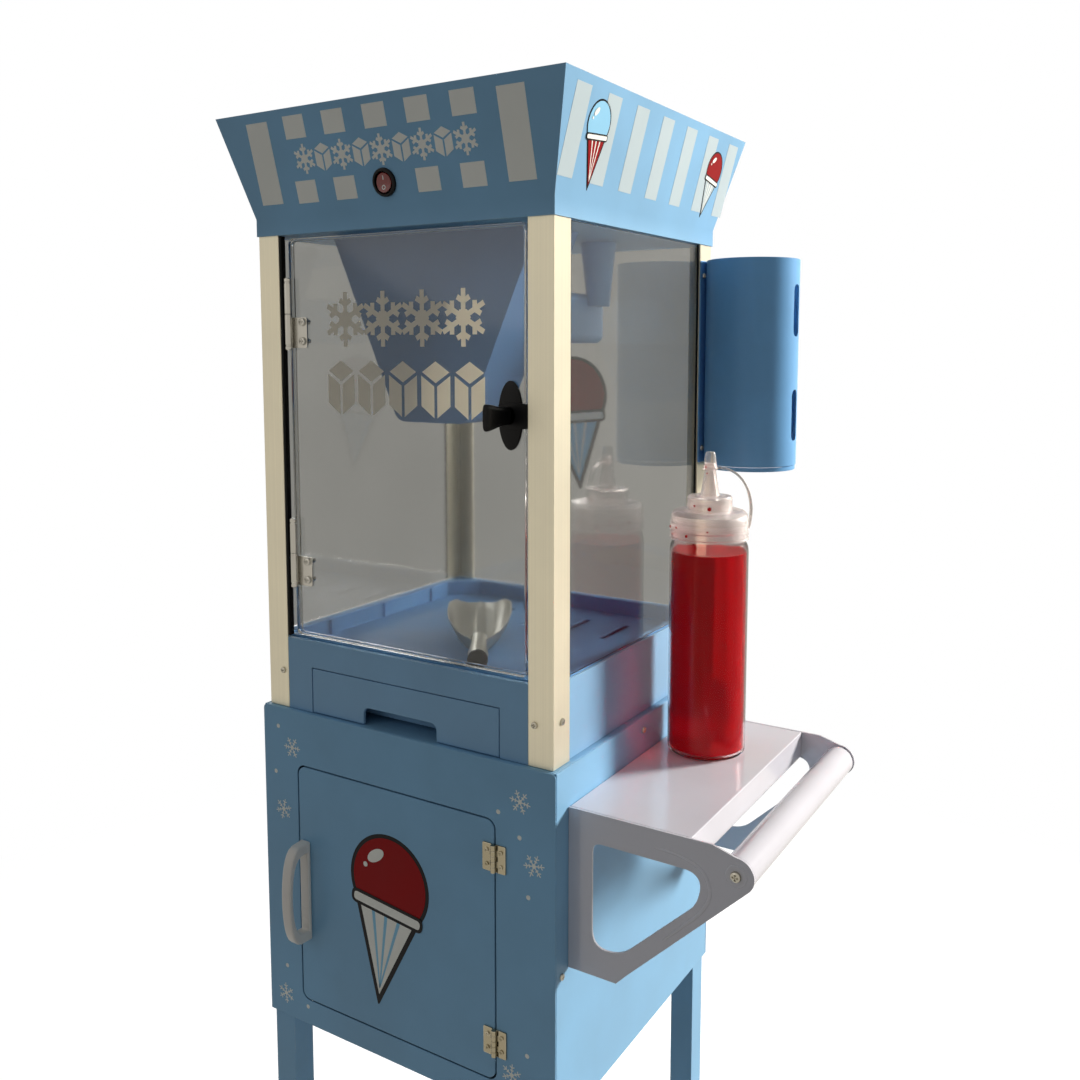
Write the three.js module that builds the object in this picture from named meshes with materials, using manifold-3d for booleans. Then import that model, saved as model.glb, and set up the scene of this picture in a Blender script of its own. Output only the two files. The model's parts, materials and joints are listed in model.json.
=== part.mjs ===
// Shaved ice machine on a cabinet cart: a glazed display case with an ice shaver, over a cupboard on legs.
// Millimetres. +X is the side with the shelf, -Y is the front, +Z is up.
// Heights and depths are first measured from the cabinet: z = 0 is its top, y = 0 is its front face.
import * as THREE from 'three';
import { mergeVertices } from 'three/addons/utils/BufferGeometryUtils.js';
import Module from 'manifold-3d';

const wasm = await Module();
wasm.setup();

// ---------------------------------------------------------------- driving dimensions
const GAP = 0.3; // clearance between pieces that rest on each other
const CANOPY_TOP = 533.2; // top of the canopy above the cabinet top
const TOTAL_HEIGHT = 1219; // floor to canopy top
const FLOOR = CANOPY_TOP - TOTAL_HEIGHT;

const cabinet = { half: 160, depth: 309, height: 303, sheet: 1.5 };
const opening = { left: -118.5, right: 103, bottom: -279, top: -50, radius: 9 };
const leg = { side: 24, wall: 1.6, inset: 3, insideCabinet: 60 };
const wheel = { radius: 65, width: 22, hub: 17, bore: 5.5, clearance: 2 };
const AXLE_RADIUS = 5;

const post = {
  outer: 155.1, front: 4.9, back: 304.1, faceWidth: 23.6, sideWidth: 25.6, sheet: 1.6, top: 446,
};
const band = { half: 156.4, front: 3.6, back: 305.4, bottom: 431.6, crease: 446.6, sheet: 1 };
const FLARE = 23.2; // how far the canopy's top edge stands out from its band
const TOP_PANEL = { bottom: 516, top: 517.5 };
const CEILING = { bottom: 432, top: 433.5 };
const iceMouth = { half: 70, front: 75, back: 215 };
const feed = { half: 52, front: 60, back: 112, clearance: 5 };

const base = { top: 67, wall: 3, insideHalf: 150.2, front: 5.2, back: 302.1, cornerFront: 7 };
const drawer = { left: -101.6, right: 103, bottom: 0.9, top: 41.6, depth: 225, wall: 2.5 };
const notch = { left: -41, right: 39.3, top: 16.3 };
const tub = { half: 149.6, front: 11, back: 298.6, bottom: 50, top: 68, floor: 2.5, ledge: 8.5, chamfer: 26 };

const caseDoor = { left: -127.5, right: 125.2, bottom: 68.5, top: 429.5, front: 13, back: 20, sheet: 2.5 };
const caseHinge = { x: -124, y: 8.2, radius: 3.4, pin: 1.6, bore: 1.9, half: 32 };
const latch = { x: 111.5, z: 279.5, width: 23, height: 55, reach: 32 };

const shelf = { inner: 160.3, outer: 266, front: 20, back: 283, top: -33, lip: 24, sheet: 1.6, bracket: 2 };
const bar = { x: 302.4, z: -52.5, radius: 13.2, nose: 14 };

const shaver = { front: 55, back: 118, top: 431.6, bottom: 267, topHalf: 110, bottomHalf: 38, wall: 2.5 };
const cutter = { z: 361, radius: 60, front: 84, back: 89 };
const motor = { radius: 19.5, front: 126, back: 216 };
const motorCover = { half: 70, back: 235, bottom: 337, top: 384, wall: 2.5 };

const coneTube = { x: 200.2, y: 301, radius: 44.2, wall: 1.3, bottom: 220.3, top: 416 };
const bottle = { x: 204, y: 194.6, radius: 35.2, wall: 1.4, shoulder: 192, neck: 20, liquid: 184 };
const TURN = Math.PI / 2;

// ---------------------------------------------------------------- finishes
const finish = (color, roughness, metalness, more = {}) =>
  new THREE.MeshStandardMaterial({ color, roughness, metalness, flatShading: true, ...more });
const clear = { transparent: true, opacity: 0.3 };
const bluePaint = finish(0x86b4d4, 0.35, 0);
const blueTube = finish(0x4f86bd, 0.4, 0);
const bluePlastic = finish(0x6f9fcc, 0.4, 0);
const creamAluminium = finish(0xd8cfb4, 0.45, 0.6);
const whiteGloss = finish(0xeceef2, 0.15, 0);
const whitePlastic = finish(0xf2f2f0, 0.35, 0);
const blackPlastic = finish(0x101012, 0.4, 0);
const steel = finish(0xb9b7b0, 0.3, 1);
const aluminium = finish(0xc4c6c8, 0.35, 1);
const glass = finish(0xdfe8ea, 0.05, 0, clear);
const clearPlastic = finish(0xe6eef0, 0.1, 0, clear);
const redPlastic = finish(0xa01018, 0.25, 0);
const syrupRed = finish(0xc00828, 0.1, 0, { transparent: true, opacity: 0.8 });
const milkyPlastic = finish(0xf0e8ea, 0.3, 0, { transparent: true, opacity: 0.45 });
const wheelPlastic = finish(0x2a2c30, 0.6, 0);

// ---------------------------------------------------------------- solids
function toSolid(geometry) {
  const bare = geometry.clone();
  bare.deleteAttribute('normal');
  bare.deleteAttribute('uv');
  const merged = mergeVertices(bare, 1e-3);
  const index = merged.index.array;
  const faces = [];
  for (let i = 0; i < index.length; i += 3) {
    const [a, b, c] = [index[i], index[i + 1], index[i + 2]];
    if (a !== b && b !== c && c !== a) faces.push(a, b, c);
  }
  const vertProperties = merged.attributes.position.array;
  return new wasm.Manifold(new wasm.Mesh({ numProp: 3, vertProperties, triVerts: new Uint32Array(faces) }));
}

function toGeometry(solid) {
  const mesh = solid.getMesh();
  const geometry = new THREE.BufferGeometry();
  geometry.setAttribute('position', new THREE.BufferAttribute(new Float32Array(mesh.vertProperties), 3));
  geometry.setIndex(new THREE.BufferAttribute(new Uint32Array(mesh.triVerts), 1));
  geometry.computeVertexNormals();
  return geometry;
}

const combine = (how, first, others) =>
  toGeometry(others.reduce((solid, other) => solid[how](toSolid(other)), toSolid(first)));
const cut = (from, ...tools) => combine('subtract', from, tools);
const join = (first, ...others) => combine('add', first, others);
const common = (first, ...others) => combine('intersect', first, others);

function block(x0, x1, y0, y1, z0, z1) {
  const geometry = new THREE.BoxGeometry(x1 - x0, y1 - y0, z1 - z0);
  return geometry.translate((x0 + x1) / 2, (y0 + y1) / 2, (z0 + z1) / 2);
}

const extrude = (shape, depth, curveSegments) =>
  new THREE.ExtrudeGeometry(shape, { depth, bevelEnabled: false, curveSegments });

// A shape drawn in (x, y) and raised from z0 to z1.
const alongZ = (shape, z0, z1, segments = 5) => extrude(shape, z1 - z0, segments).translate(0, 0, z0);

// A shape drawn in (x, z) and drawn back from y0 to y1.
const alongY = (shape, y0, y1, segments = 5) =>
  extrude(shape, y1 - y0, segments).rotateX(TURN).translate(0, y1, 0);

// A shape drawn in (y, z) and drawn sideways from x0 to x1.
function alongX(shape, x0, x1, segments = 5) {
  const turn = new THREE.Matrix4().set(0, 0, 1, x0, 1, 0, 0, 0, 0, 1, 0, 0, 0, 0, 0, 1);
  return extrude(shape, x1 - x0, segments).applyMatrix4(turn);
}

function polygon(points) {
  return new THREE.Shape(points.map(([x, y]) => new THREE.Vector2(x, y)));
}

function roundedRect(x0, x1, y0, y1, radius) {
  const shape = new THREE.Shape();
  shape.absarc(x1 - radius, y0 + radius, radius, -TURN, 0, false);
  shape.absarc(x1 - radius, y1 - radius, radius, 0, TURN, false);
  shape.absarc(x0 + radius, y1 - radius, radius, TURN, 2 * TURN, false);
  shape.absarc(x0 + radius, y0 + radius, radius, 2 * TURN, 3 * TURN, false);
  return shape;
}

// A polygon whose corners are rounded: each corner is [x, y, radius].
function roundedPolygon(corners) {
  const shape = new THREE.Shape();
  corners.forEach(([x, y, radius], i) => {
    const [px, py] = corners[(i + corners.length - 1) % corners.length];
    const [nx, ny] = corners[(i + 1) % corners.length];
    const here = new THREE.Vector2(x, y);
    const start = new THREE.Vector2(px - x, py - y).setLength(radius).add(here);
    const end = new THREE.Vector2(nx - x, ny - y).setLength(radius).add(here);
    if (i === 0) shape.moveTo(start.x, start.y);
    else shape.lineTo(start.x, start.y);
    shape.quadraticCurveTo(x, y, end.x, end.y);
  });
  shape.closePath();
  return shape;
}

function cylinder(radius, length, axis = 'z', segments = 24) {
  const geometry = new THREE.CylinderGeometry(radius, radius, length, segments);
  if (axis === 'z') geometry.rotateX(TURN);
  if (axis === 'x') geometry.rotateZ(TURN);
  return geometry;
}

// A closed profile of [radius, height] points turned about the z axis.
function turned(profile, segments = 32) {
  const points = profile.map(([r, z]) => new THREE.Vector2(r, z));
  return new THREE.LatheGeometry(points, segments).rotateX(TURN);
}

// A four-sided tower whose section changes from level to level.
function tower(levels) {
  const positions = levels.flatMap(({ x0, x1, y0, y1, z }) => [x0, y0, z, x1, y0, z, x1, y1, z, x0, y1, z]);
  const faces = [0, 2, 1, 0, 3, 2];
  for (let i = 0; i < levels.length - 1; i += 1) {
    for (let k = 0; k < 4; k += 1) {
      const a = 4 * i + k;
      const b = 4 * i + ((k + 1) % 4);
      faces.push(a, b, b + 4, a, b + 4, a + 4);
    }
  }
  const top = 4 * (levels.length - 1);
  faces.push(top, top + 1, top + 2, top, top + 2, top + 3);
  const geometry = new THREE.BufferGeometry();
  geometry.setAttribute('position', new THREE.Float32BufferAttribute(positions, 3));
  geometry.setIndex(faces);
  return geometry;
}

const shrink = ({ x0, x1, y0, y1, z }, by, newZ = z) => ({
  x0: x0 + by,
  x1: x1 - by,
  y0: y0 + by,
  y1: y1 - by,
  z: newZ,
});

// ---------------------------------------------------------------- scene graph
const machine = new THREE.Group();
const inCabinetFrame = new THREE.Group();
machine.add(inCabinetFrame);

function group(parent, x = 0, y = 0, z = 0) {
  const made = new THREE.Group();
  made.position.set(x, y, z);
  parent.add(made);
  return made;
}

const cart = group(inCabinetFrame);
const displayCase = group(inCabinetFrame);
const canopy = group(inCabinetFrame);
const shaverHead = group(inCabinetFrame);
const accessories = group(inCabinetFrame);

function add(parent, name, geometry, material, x = 0, y = 0, z = 0) {
  const mesh = new THREE.Mesh(geometry, material);
  mesh.name = name;
  mesh.position.set(x, y, z);
  parent.add(mesh);
  return mesh;
}

// ---------------------------------------------------------------- legs, axle and wheels
const LEG_TOP = leg.insideCabinet - cabinet.height;
const LEG_X = cabinet.half - leg.inset - leg.side / 2;
const LEG_FRONT_Y = leg.inset + leg.side / 2;
const LEG_REAR_Y = cabinet.depth - LEG_FRONT_Y;
const AXLE_Z = FLOOR + wheel.radius;
const LEFT_LEG_BOTTOM = AXLE_Z - 30;

function squareTube(z0, z1) {
  const half = leg.side / 2;
  const section = polygon([[-half, -half], [half, -half], [half, half], [-half, half]]);
  const hole = half - leg.wall;
  section.holes.push(polygon([[-hole, -hole], [-hole, hole], [hole, hole], [hole, -hole]]));
  return alongZ(section, z0, z1);
}

for (const [end, y] of [['front', LEG_FRONT_Y], ['rear', LEG_REAR_Y]]) {
  const axleHole = cylinder(AXLE_RADIUS + GAP, 2 * leg.side, 'y').translate(0, 0, AXLE_Z);
  add(cart, `leg_left_${end}`, cut(squareTube(LEFT_LEG_BOTTOM, LEG_TOP), axleHole), bluePaint, -LEG_X, y);
  const footPlate = block(-leg.side / 2, leg.side / 2, -leg.side / 2, leg.side / 2, FLOOR, FLOOR + leg.wall);
  add(cart, `leg_right_${end}`, join(squareTube(FLOOR, LEG_TOP), footPlate), bluePaint, LEG_X, y);
}

const WHEEL_OFFSET = leg.side / 2 + wheel.clearance + wheel.width / 2;
const AXLE_LENGTH = LEG_REAR_Y - LEG_FRONT_Y + 2 * (WHEEL_OFFSET + wheel.width / 2 + 3);
add(cart, 'axle', cylinder(AXLE_RADIUS, AXLE_LENGTH, 'y'), steel, -LEG_X, cabinet.depth / 2, AXLE_Z);

function wheelSolid() {
  const half = wheel.width / 2;
  const rim = wheel.radius - 14;
  return turned([
    [wheel.bore, -half], [wheel.hub, -half], [wheel.hub + 2, -4], [rim - 4, -4], [rim, -half + 1],
    [wheel.radius - 3, -half + 1], [wheel.radius, -half + 5], [wheel.radius, half - 5],
    [wheel.radius - 3, half - 1], [rim, half - 1], [rim - 4, 4], [wheel.hub + 2, 4],
    [wheel.hub, half], [wheel.bore, half], [wheel.bore, -half],
  ], 40).rotateX(TURN);
}

add(cart, 'wheel_front', wheelSolid(), wheelPlastic, -LEG_X, LEG_FRONT_Y - WHEEL_OFFSET, AXLE_Z);
add(cart, 'wheel_rear', wheelSolid(), wheelPlastic, -LEG_X, LEG_REAR_Y + WHEEL_OFFSET, AXLE_Z);

// ---------------------------------------------------------------- cabinet panels
const { half: CAB, depth: CAB_DEPTH, height: CAB_HEIGHT, sheet: SHEET } = cabinet;

function cabinetFront() {
  const outline = roundedPolygon([
    [-CAB, -CAB_HEIGHT, 1], [CAB, -CAB_HEIGHT, 1], [CAB, 0, 4], [-CAB, 0, 4],
  ]);
  const { left, right, bottom, top, radius } = opening;
  outline.holes.push(roundedRect(left, right, bottom, top, radius));
  return alongY(outline, 0, SHEET, 4);
}

const sidePanel = () => block(0, SHEET, SHEET + GAP, CAB_DEPTH - SHEET - GAP, -CAB_HEIGHT, 0);
add(cart, 'cabinet_front', cabinetFront(), bluePaint);
add(cart, 'cabinet_left', sidePanel(), bluePaint, -CAB);
add(cart, 'cabinet_right', sidePanel(), bluePaint, CAB - SHEET);
add(cart, 'cabinet_back', block(-CAB, CAB, CAB_DEPTH - SHEET, CAB_DEPTH, -CAB_HEIGHT, 0), bluePaint);

const INSIDE = CAB - SHEET - GAP;
const INSIDE_FRONT = SHEET + GAP;
const INSIDE_BACK = CAB_DEPTH - SHEET - GAP;
add(cart, 'cabinet_deck', block(-INSIDE, INSIDE, INSIDE_FRONT, INSIDE_BACK, -SHEET, 0), bluePaint);

function cabinetFloor() {
  const reach = leg.inset + leg.side + 1;
  const panel = block(-INSIDE, INSIDE, INSIDE_FRONT, INSIDE_BACK, -CAB_HEIGHT, SHEET - CAB_HEIGHT);
  const corners = [];
  for (const x of [-CAB, CAB - reach]) {
    for (const y of [0, CAB_DEPTH - reach]) {
      corners.push(block(x, x + reach, y, y + reach, -CAB_HEIGHT - 1, SHEET - CAB_HEIGHT + 1));
    }
  }
  return cut(panel, ...corners);
}
add(cart, 'cabinet_floor', cabinetFloor(), bluePaint);

// ---------------------------------------------------------------- cupboard door
const DOOR_GAP = 1.5;
const DOOR_RETURN = 10;
const doorEdge = {
  left: opening.left + DOOR_GAP,
  right: opening.right - DOOR_GAP,
  bottom: opening.bottom + DOOR_GAP,
  top: opening.top - DOOR_GAP,
};

function pan(edge, front, back, sheet, radius) {
  const { left, right, bottom, top } = edge;
  const outside = alongY(roundedRect(left, right, bottom, top, radius), front, back);
  const inside = roundedRect(left + sheet, right - sheet, bottom + sheet, top - sheet, radius - sheet / 2);
  return cut(outside, alongY(inside, front + sheet, back + 1));
}
add(cart, 'cabinet_door', pan(doorEdge, 0, DOOR_RETURN, 1.3, 8), bluePaint);

// The catch is a magnet block behind the frame's left side, with a lug that meets the door's return.
const catchBlock = block(-134, -108, 12, 22, -15, 15);
const catchLug = block(-134, -122, INSIDE_FRONT, 13, -15, 15);
add(cart, 'door_catch', join(catchBlock, catchLug), blackPlastic, 0, 0, -163);

const pull = { half: 47.5, plate: 3.5, end: 14, width: 11 };

// A closed D: a bow in front of a flat plate that is screwed to the door.
function doorPull() {
  const { half, plate, end, width } = pull;
  const room = half - end;
  const outline = new THREE.Shape();
  outline.moveTo(0, -half);
  outline.quadraticCurveTo(-25, -half, -27.5, 24 - half);
  outline.quadraticCurveTo(-28.5, 0, -27.5, half - 24);
  outline.quadraticCurveTo(-25, half, 0, half);
  outline.closePath();
  const grip = new THREE.Path();
  grip.moveTo(-plate, room);
  grip.quadraticCurveTo(-17, room, -19, half - 30);
  grip.quadraticCurveTo(-20, 0, -19, 30 - half);
  grip.quadraticCurveTo(-17, -room, -plate, -room);
  grip.closePath();
  outline.holes.push(grip);
  return alongX(outline, -width / 2, width / 2, 6);
}
add(cart, 'door_pull', doorPull(), whitePlastic, -109, -GAP, -168.4);

// Butt hinges: the frame leaf carries the pin, and the door leaf has the middle knuckle.
const buttHinge = {
  x: 102.25, y: -2.6, radius: 2.3, pin: 1.2, bore: 1.5, half: 11.75, middle: 3.7, leaf: 11.3,
};

function frameLeaf() {
  const { radius, pin, half, middle, leaf } = buttHinge;
  const length = half - middle - GAP;
  const centre = (half + middle + GAP) / 2;
  const plate = block(0, leaf, 1.1, 2.3, -half, half);
  const room = block(-1, radius + 0.5, 0, 3, -middle - GAP, middle + GAP);
  const knuckle = () => cylinder(radius, length, 'z', 12);
  return join(
    cut(plate, room),
    knuckle().translate(0, 0, centre),
    knuckle().translate(0, 0, -centre),
    cylinder(pin, 2 * half, 'z', 12),
  );
}

function doorLeaf() {
  const { radius, bore, half, middle, leaf } = buttHinge;
  const plate = block(-leaf, 0, 1.1, 2.3, -half, half);
  const room = (z) => block(-radius - 0.5, 1, 0, 3, z, z + half);
  const body = join(cut(plate, room(middle), room(-middle - half)), cylinder(radius, 2 * middle, 'z', 12));
  return cut(body, cylinder(bore, 3 * middle, 'z', 12));
}

for (const [place, z] of [['upper', -82.3], ['lower', -242.8]]) {
  add(cart, `cabinet_hinge_${place}_frame_leaf`, frameLeaf(), steel, buttHinge.x, buttHinge.y, z);
  add(cart, `cabinet_hinge_${place}_door_leaf`, doorLeaf(), steel, buttHinge.x, buttHinge.y, z);
}

// ---------------------------------------------------------------- side shelf and handle bar
function bracket() {
  const { x, z, nose } = bar;
  const top = shelf.top;
  const outline = new THREE.Shape();
  outline.moveTo(shelf.inner, top);
  outline.lineTo(283, top);
  outline.lineTo(x, z + nose);
  outline.absarc(x, z, nose, TURN, -0.85, true);
  outline.lineTo(213, -159);
  outline.quadraticCurveTo(204, -168.5, 192, -168.5);
  outline.lineTo(shelf.inner, -168.5);
  outline.closePath();
  outline.holes.push(roundedPolygon([
    [182, -57, 12], [182, -144, 10], [206, -144, 12], [293, -57, 15],
  ]));
  return outline;
}

const REAR_PLATE = shelf.back - shelf.bracket;
add(cart, 'shelf_bracket_front', alongY(bracket(), shelf.front, shelf.front + shelf.bracket, 8), whiteGloss);
add(cart, 'shelf_bracket_rear', alongY(bracket(), REAR_PLATE, shelf.back, 8), whiteGloss);

function shelfChannel() {
  const { inner, outer, front, back, top, lip, sheet, bracket: plate } = shelf;
  const bottom = top - lip;
  const section = polygon([
    [inner, bottom], [inner + sheet, bottom], [inner + sheet, top - sheet], [outer - sheet, top - sheet],
    [outer - sheet, bottom], [outer, bottom], [outer, top], [inner, top],
  ]);
  return alongY(section, front + plate + GAP, back - plate - GAP);
}
add(cart, 'side_shelf', shelfChannel(), whiteGloss);

const BAR_LENGTH = REAR_PLATE - shelf.front - shelf.bracket - 2 * GAP;
const BAR_MIDDLE = (shelf.front + shelf.back) / 2;
add(cart, 'handle_bar', cylinder(bar.radius, BAR_LENGTH, 'y', 28), whiteGloss, bar.x, BAR_MIDDLE, bar.z);

// ---------------------------------------------------------------- corner posts
// An angle section with its outside corner at the origin, its face along +x and its side along +y.
function cornerPost(flipX, flipY) {
  const { faceWidth, sideWidth, sheet, top } = post;
  const face = block(0, faceWidth, 0, sheet, GAP, top);
  const side = block(0, sheet, 0, sideWidth, GAP, top);
  const angle = toSolid(join(face, side));
  const mirrored = flipX ? angle.mirror([1, 0, 0]) : angle;
  return toGeometry(flipY ? mirrored.mirror([0, 1, 0]) : mirrored);
}
add(displayCase, 'post_front_left', cornerPost(false, false), creamAluminium, -post.outer, post.front);
add(displayCase, 'post_front_right', cornerPost(true, false), creamAluminium, post.outer, post.front);
add(displayCase, 'post_rear_left', cornerPost(false, true), creamAluminium, -post.outer, post.back);
add(displayCase, 'post_rear_right', cornerPost(true, true), creamAluminium, post.outer, post.back);

// ---------------------------------------------------------------- panes
const PANE = { thickness: 3, bottom: tub.top + 1.2, top: CEILING.bottom - 1 };
const SIDE_PANE_X = 152;
const sidePane = () => block(0, PANE.thickness, 8, 297.4, PANE.bottom, PANE.top);
add(displayCase, 'pane_left', sidePane(), glass, -SIDE_PANE_X);
add(displayCase, 'pane_right', sidePane(), glass, SIDE_PANE_X - PANE.thickness);
add(displayCase, 'pane_back', block(-148, 148, 298, 298 + PANE.thickness, PANE.bottom, PANE.top), glass);

// ---------------------------------------------------------------- base housing, ice tub and drip drawer
function baseHousing() {
  const { top, wall, insideHalf, front, back, cornerFront } = base;
  const bottom = 0.4;
  const outer = insideHalf + wall;
  const faceHalf = post.outer - post.faceWidth - GAP;
  const ring = cut(
    block(-outer, outer, cornerFront, back, bottom, top),
    block(-insideHalf, insideHalf, cornerFront + wall, back - wall, 0, top + 1),
  );
  const face = block(-faceHalf, faceHalf, front, cornerFront + wall, bottom, top);
  const slot = block(drawer.left - 1, drawer.right + 1, 0, 20, 0, drawer.top + 1);
  return cut(join(ring, face), slot);
}
add(displayCase, 'base_housing', baseHousing(), bluePaint);

function iceTub() {
  const { half, front, back, bottom, top, floor, ledge, chamfer } = tub;
  const outline = (inset) => polygon([
    [-half + inset, front + inset], [half - inset, front + inset], [half - inset, back - inset - chamfer],
    [half - inset - chamfer, back - inset], [-half + inset + chamfer, back - inset],
    [-half + inset, back - inset - chamfer],
  ]);
  const shell = cut(
    alongZ(outline(0), top - 3, top),
    alongZ(outline(ledge), top - 4, top + 1),
  );
  const bowl = cut(
    alongZ(outline(ledge - 3), bottom, top - 2),
    alongZ(outline(ledge), bottom + floor, top + 1),
  );
  const slots = [-90, -45, 0, 45, 90].map((x) => block(x - 3, x + 3, 200, 255, bottom - 1, bottom + 4));
  return cut(join(shell, bowl), ...slots);
}
add(displayCase, 'ice_tub', iceTub(), bluePlastic);

function dripDrawer() {
  const { left, right, bottom, top, depth, wall } = drawer;
  const front = base.front;
  const trayFront = 26;
  const inner = 1.4;
  const panel = block(left, right, front, front + 3, bottom, top);
  const tray = cut(
    block(left + inner, right - inner, front + 2, depth, bottom + 2, top - 3),
    block(left + inner + wall, right - inner - wall, trayFront + wall, depth - wall, bottom + 2 + wall, top),
    block(left + inner + wall, right - inner - wall, front + 3, trayFront, 0, top),
  );
  return cut(join(panel, tray), alongY(roundedRect(notch.left, notch.right, -20, notch.top, 6), 0, 20));
}
add(displayCase, 'drip_drawer', dripDrawer(), bluePlastic);

// ---------------------------------------------------------------- display case door, its hinges and its latch
add(displayCase, 'case_door', pan(caseDoor, caseDoor.front, caseDoor.back, caseDoor.sheet, 5), clearPlastic);

function caseHingeFrameHalf() {
  const { radius, pin, half } = caseHinge;
  const barrel = cylinder(radius, half - GAP, 'z', 16).translate(0, 0, (half + GAP) / 2);
  const leaf = block(-24, 0, -1.4, -0.2, 1, half - 1);
  return join(barrel, leaf, cylinder(pin, 2 * half - 1, 'z', 12));
}

function caseHingeDoorHalf() {
  const { radius, bore, half } = caseHinge;
  const barrel = cylinder(radius, half, 'z', 16).translate(0, 0, -half / 2);
  const leaf = block(0, 18, 3, 4.4, 1 - half, -2);
  return cut(join(barrel, leaf), cylinder(bore, 3 * half, 'z', 12));
}

for (const [place, z] of [['upper', 362.4], ['lower', 146]]) {
  add(displayCase, `case_hinge_${place}_frame_half`, caseHingeFrameHalf(), steel, caseHinge.x, caseHinge.y, z);
  add(displayCase, `case_hinge_${place}_door_half`, caseHingeDoorHalf(), steel, caseHinge.x, caseHinge.y, z);
}

function latchPlate() {
  const outline = new THREE.Shape();
  outline.absellipse(0, 0, latch.width / 2, latch.height / 2, 0, 2 * Math.PI, false, 0);
  return cut(alongY(outline, 9.3, 12.7, 20), cylinder(4.4, 30, 'y', 16));
}

function latchTurn() {
  const spindle = cylinder(4, 4, 'y', 16).translate(0, 10.5, 0);
  const tongue = alongY(roundedRect(-9, 19.6, -10, 10, 4), 6.9, 8.9, 3);
  const paddle = new THREE.Shape();
  paddle.moveTo(7, -8);
  paddle.lineTo(7, 8);
  paddle.quadraticCurveTo(-6, 6.2, 8 - latch.reach, 10.5);
  paddle.quadraticCurveTo(6.8 - latch.reach, 0, 8 - latch.reach, -10.5);
  paddle.quadraticCurveTo(-6, -6.2, 7, -8);
  return join(spindle, tongue, alongX(paddle, -2.5, 2.5, 6));
}
add(displayCase, 'latch_plate', latchPlate(), blackPlastic, latch.x, 0, latch.z);
add(displayCase, 'latch_turn', latchTurn(), blackPlastic, latch.x, 0, latch.z);

// ---------------------------------------------------------------- canopy
const FLARE_HEIGHT = CANOPY_TOP - band.crease;
const bandRect = (z) => ({ x0: -band.half, x1: band.half, y0: band.front, y1: band.back, z });
const flareAt = (z) => shrink(bandRect(z), (-FLARE * (z - band.crease)) / FLARE_HEIGHT);

// The switch sits in the middle of the sloping front, which leans out by the flare's angle.
const SLOPE = Math.atan2(FLARE, FLARE_HEIGHT);
const SWITCH_Z = 467;
const switchMount = group(canopy, -2, flareAt(SWITCH_Z).y0, SWITCH_Z);
switchMount.rotation.x = SLOPE;
switchMount.updateMatrixWorld(true);
const switchHole = cylinder(10.3, 20, 'y').applyMatrix4(switchMount.matrix);

const gland = { x: 108, z: 439.1, flange: 7, neck: 5, bore: 3.2 };

function canopyShell() {
  const outside = tower([bandRect(band.bottom), bandRect(band.crease), flareAt(CANOPY_TOP)]);
  const below = 1;
  const flange = 10;
  const inside = tower([
    shrink(bandRect(band.bottom - below), band.sheet),
    shrink(bandRect(band.crease), band.sheet),
    shrink(flareAt(CANOPY_TOP - 1.2), band.sheet + 0.3),
  ]);
  const mouth = shrink(flareAt(CANOPY_TOP), flange);
  const topHole = tower([shrink(mouth, 0, CANOPY_TOP - 5), shrink(mouth, 0, CANOPY_TOP + 5)]);
  const glandHole = cylinder(gland.neck + 0.4, 20, 'y').translate(gland.x, band.back, gland.z);
  return cut(outside, inside, topHole, switchHole, glandHole);
}
add(canopy, 'canopy_shell', canopyShell(), bluePaint);

const LID_PIVOT = { y: 229, z: 521.2, radius: 2, arm: 3 };

function canopyTop() {
  const edge = shrink(flareAt(TOP_PANEL.bottom), band.sheet + 0.8);
  const { half, front, back } = iceMouth;
  const panel = cut(
    block(edge.x0, edge.x1, edge.y0, edge.y1, TOP_PANEL.bottom, TOP_PANEL.top),
    block(-half, half, front, back, TOP_PANEL.bottom - 1, TOP_PANEL.top + 1),
  );
  const { y, z } = LID_PIVOT;
  const ear = (x) => block(x - 2.5, x + 2.5, y - 5, y + 5, TOP_PANEL.bottom, z + 4);
  const ears = [ear(-88), ear(88)];
  const pins = cylinder(LID_PIVOT.radius + 0.35, 200, 'x', 12).translate(0, y, z);
  return cut(join(panel, ...ears), pins);
}
add(canopy, 'canopy_top', canopyTop(), bluePaint);

function iceLid() {
  const { y, z, radius, arm } = LID_PIVOT;
  const bottom = TOP_PANEL.top + 0.5;
  const { half, front, back } = iceMouth;
  const plate = alongZ(roundedRect(-81, 81, front - 11, back + 8, 8), bottom, bottom + 2.4, 4);
  const skirt = cut(
    block(-half + 2.5, half - 2.5, front + 3, back - 3, bottom - 5, bottom + 0.5),
    block(-half + 4.5, half - 4.5, front + 5, back - 5, bottom - 6, bottom),
  );
  const arms = [-1, 1].flatMap((side) => [
    block(side * 78 - 3, side * 78 + 3, back - 10, y, z - arm, z + arm),
    cylinder(arm, 6, 'x', 16).translate(side * 78, y, z),
    cylinder(radius, 11, 'x', 12).translate(side * 84.5, y, z),
  ]);
  const grip = alongX(roundedRect(front - 8, front + 2, bottom + 1, bottom + 10, 2.5), -22, 22, 3);
  return join(plate, skirt, grip, ...arms);
}
add(canopy, 'ice_lid', iceLid(), bluePlastic);

function ceilingPlate() {
  const { bottom, top } = CEILING;
  const hole = feed.clearance;
  return cut(
    block(-152.8, 152.8, 7, 302.2, bottom, top),
    block(-feed.half - hole, feed.half + hole, feed.front - hole, feed.back + hole, bottom - 1, top + 1),
  );
}
add(canopy, 'ceiling_plate', ceilingPlate(), bluePaint);

const bezelProfile = [
  [9, 8], [9, -2.4], [10.4, -3], [11.6, -2], [11.75, -GAP], [10, -GAP], [10, 8], [9, 8],
];
add(switchMount, 'switch_bezel', turned(bezelProfile, 32).rotateX(-TURN), blackPlastic);

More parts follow.
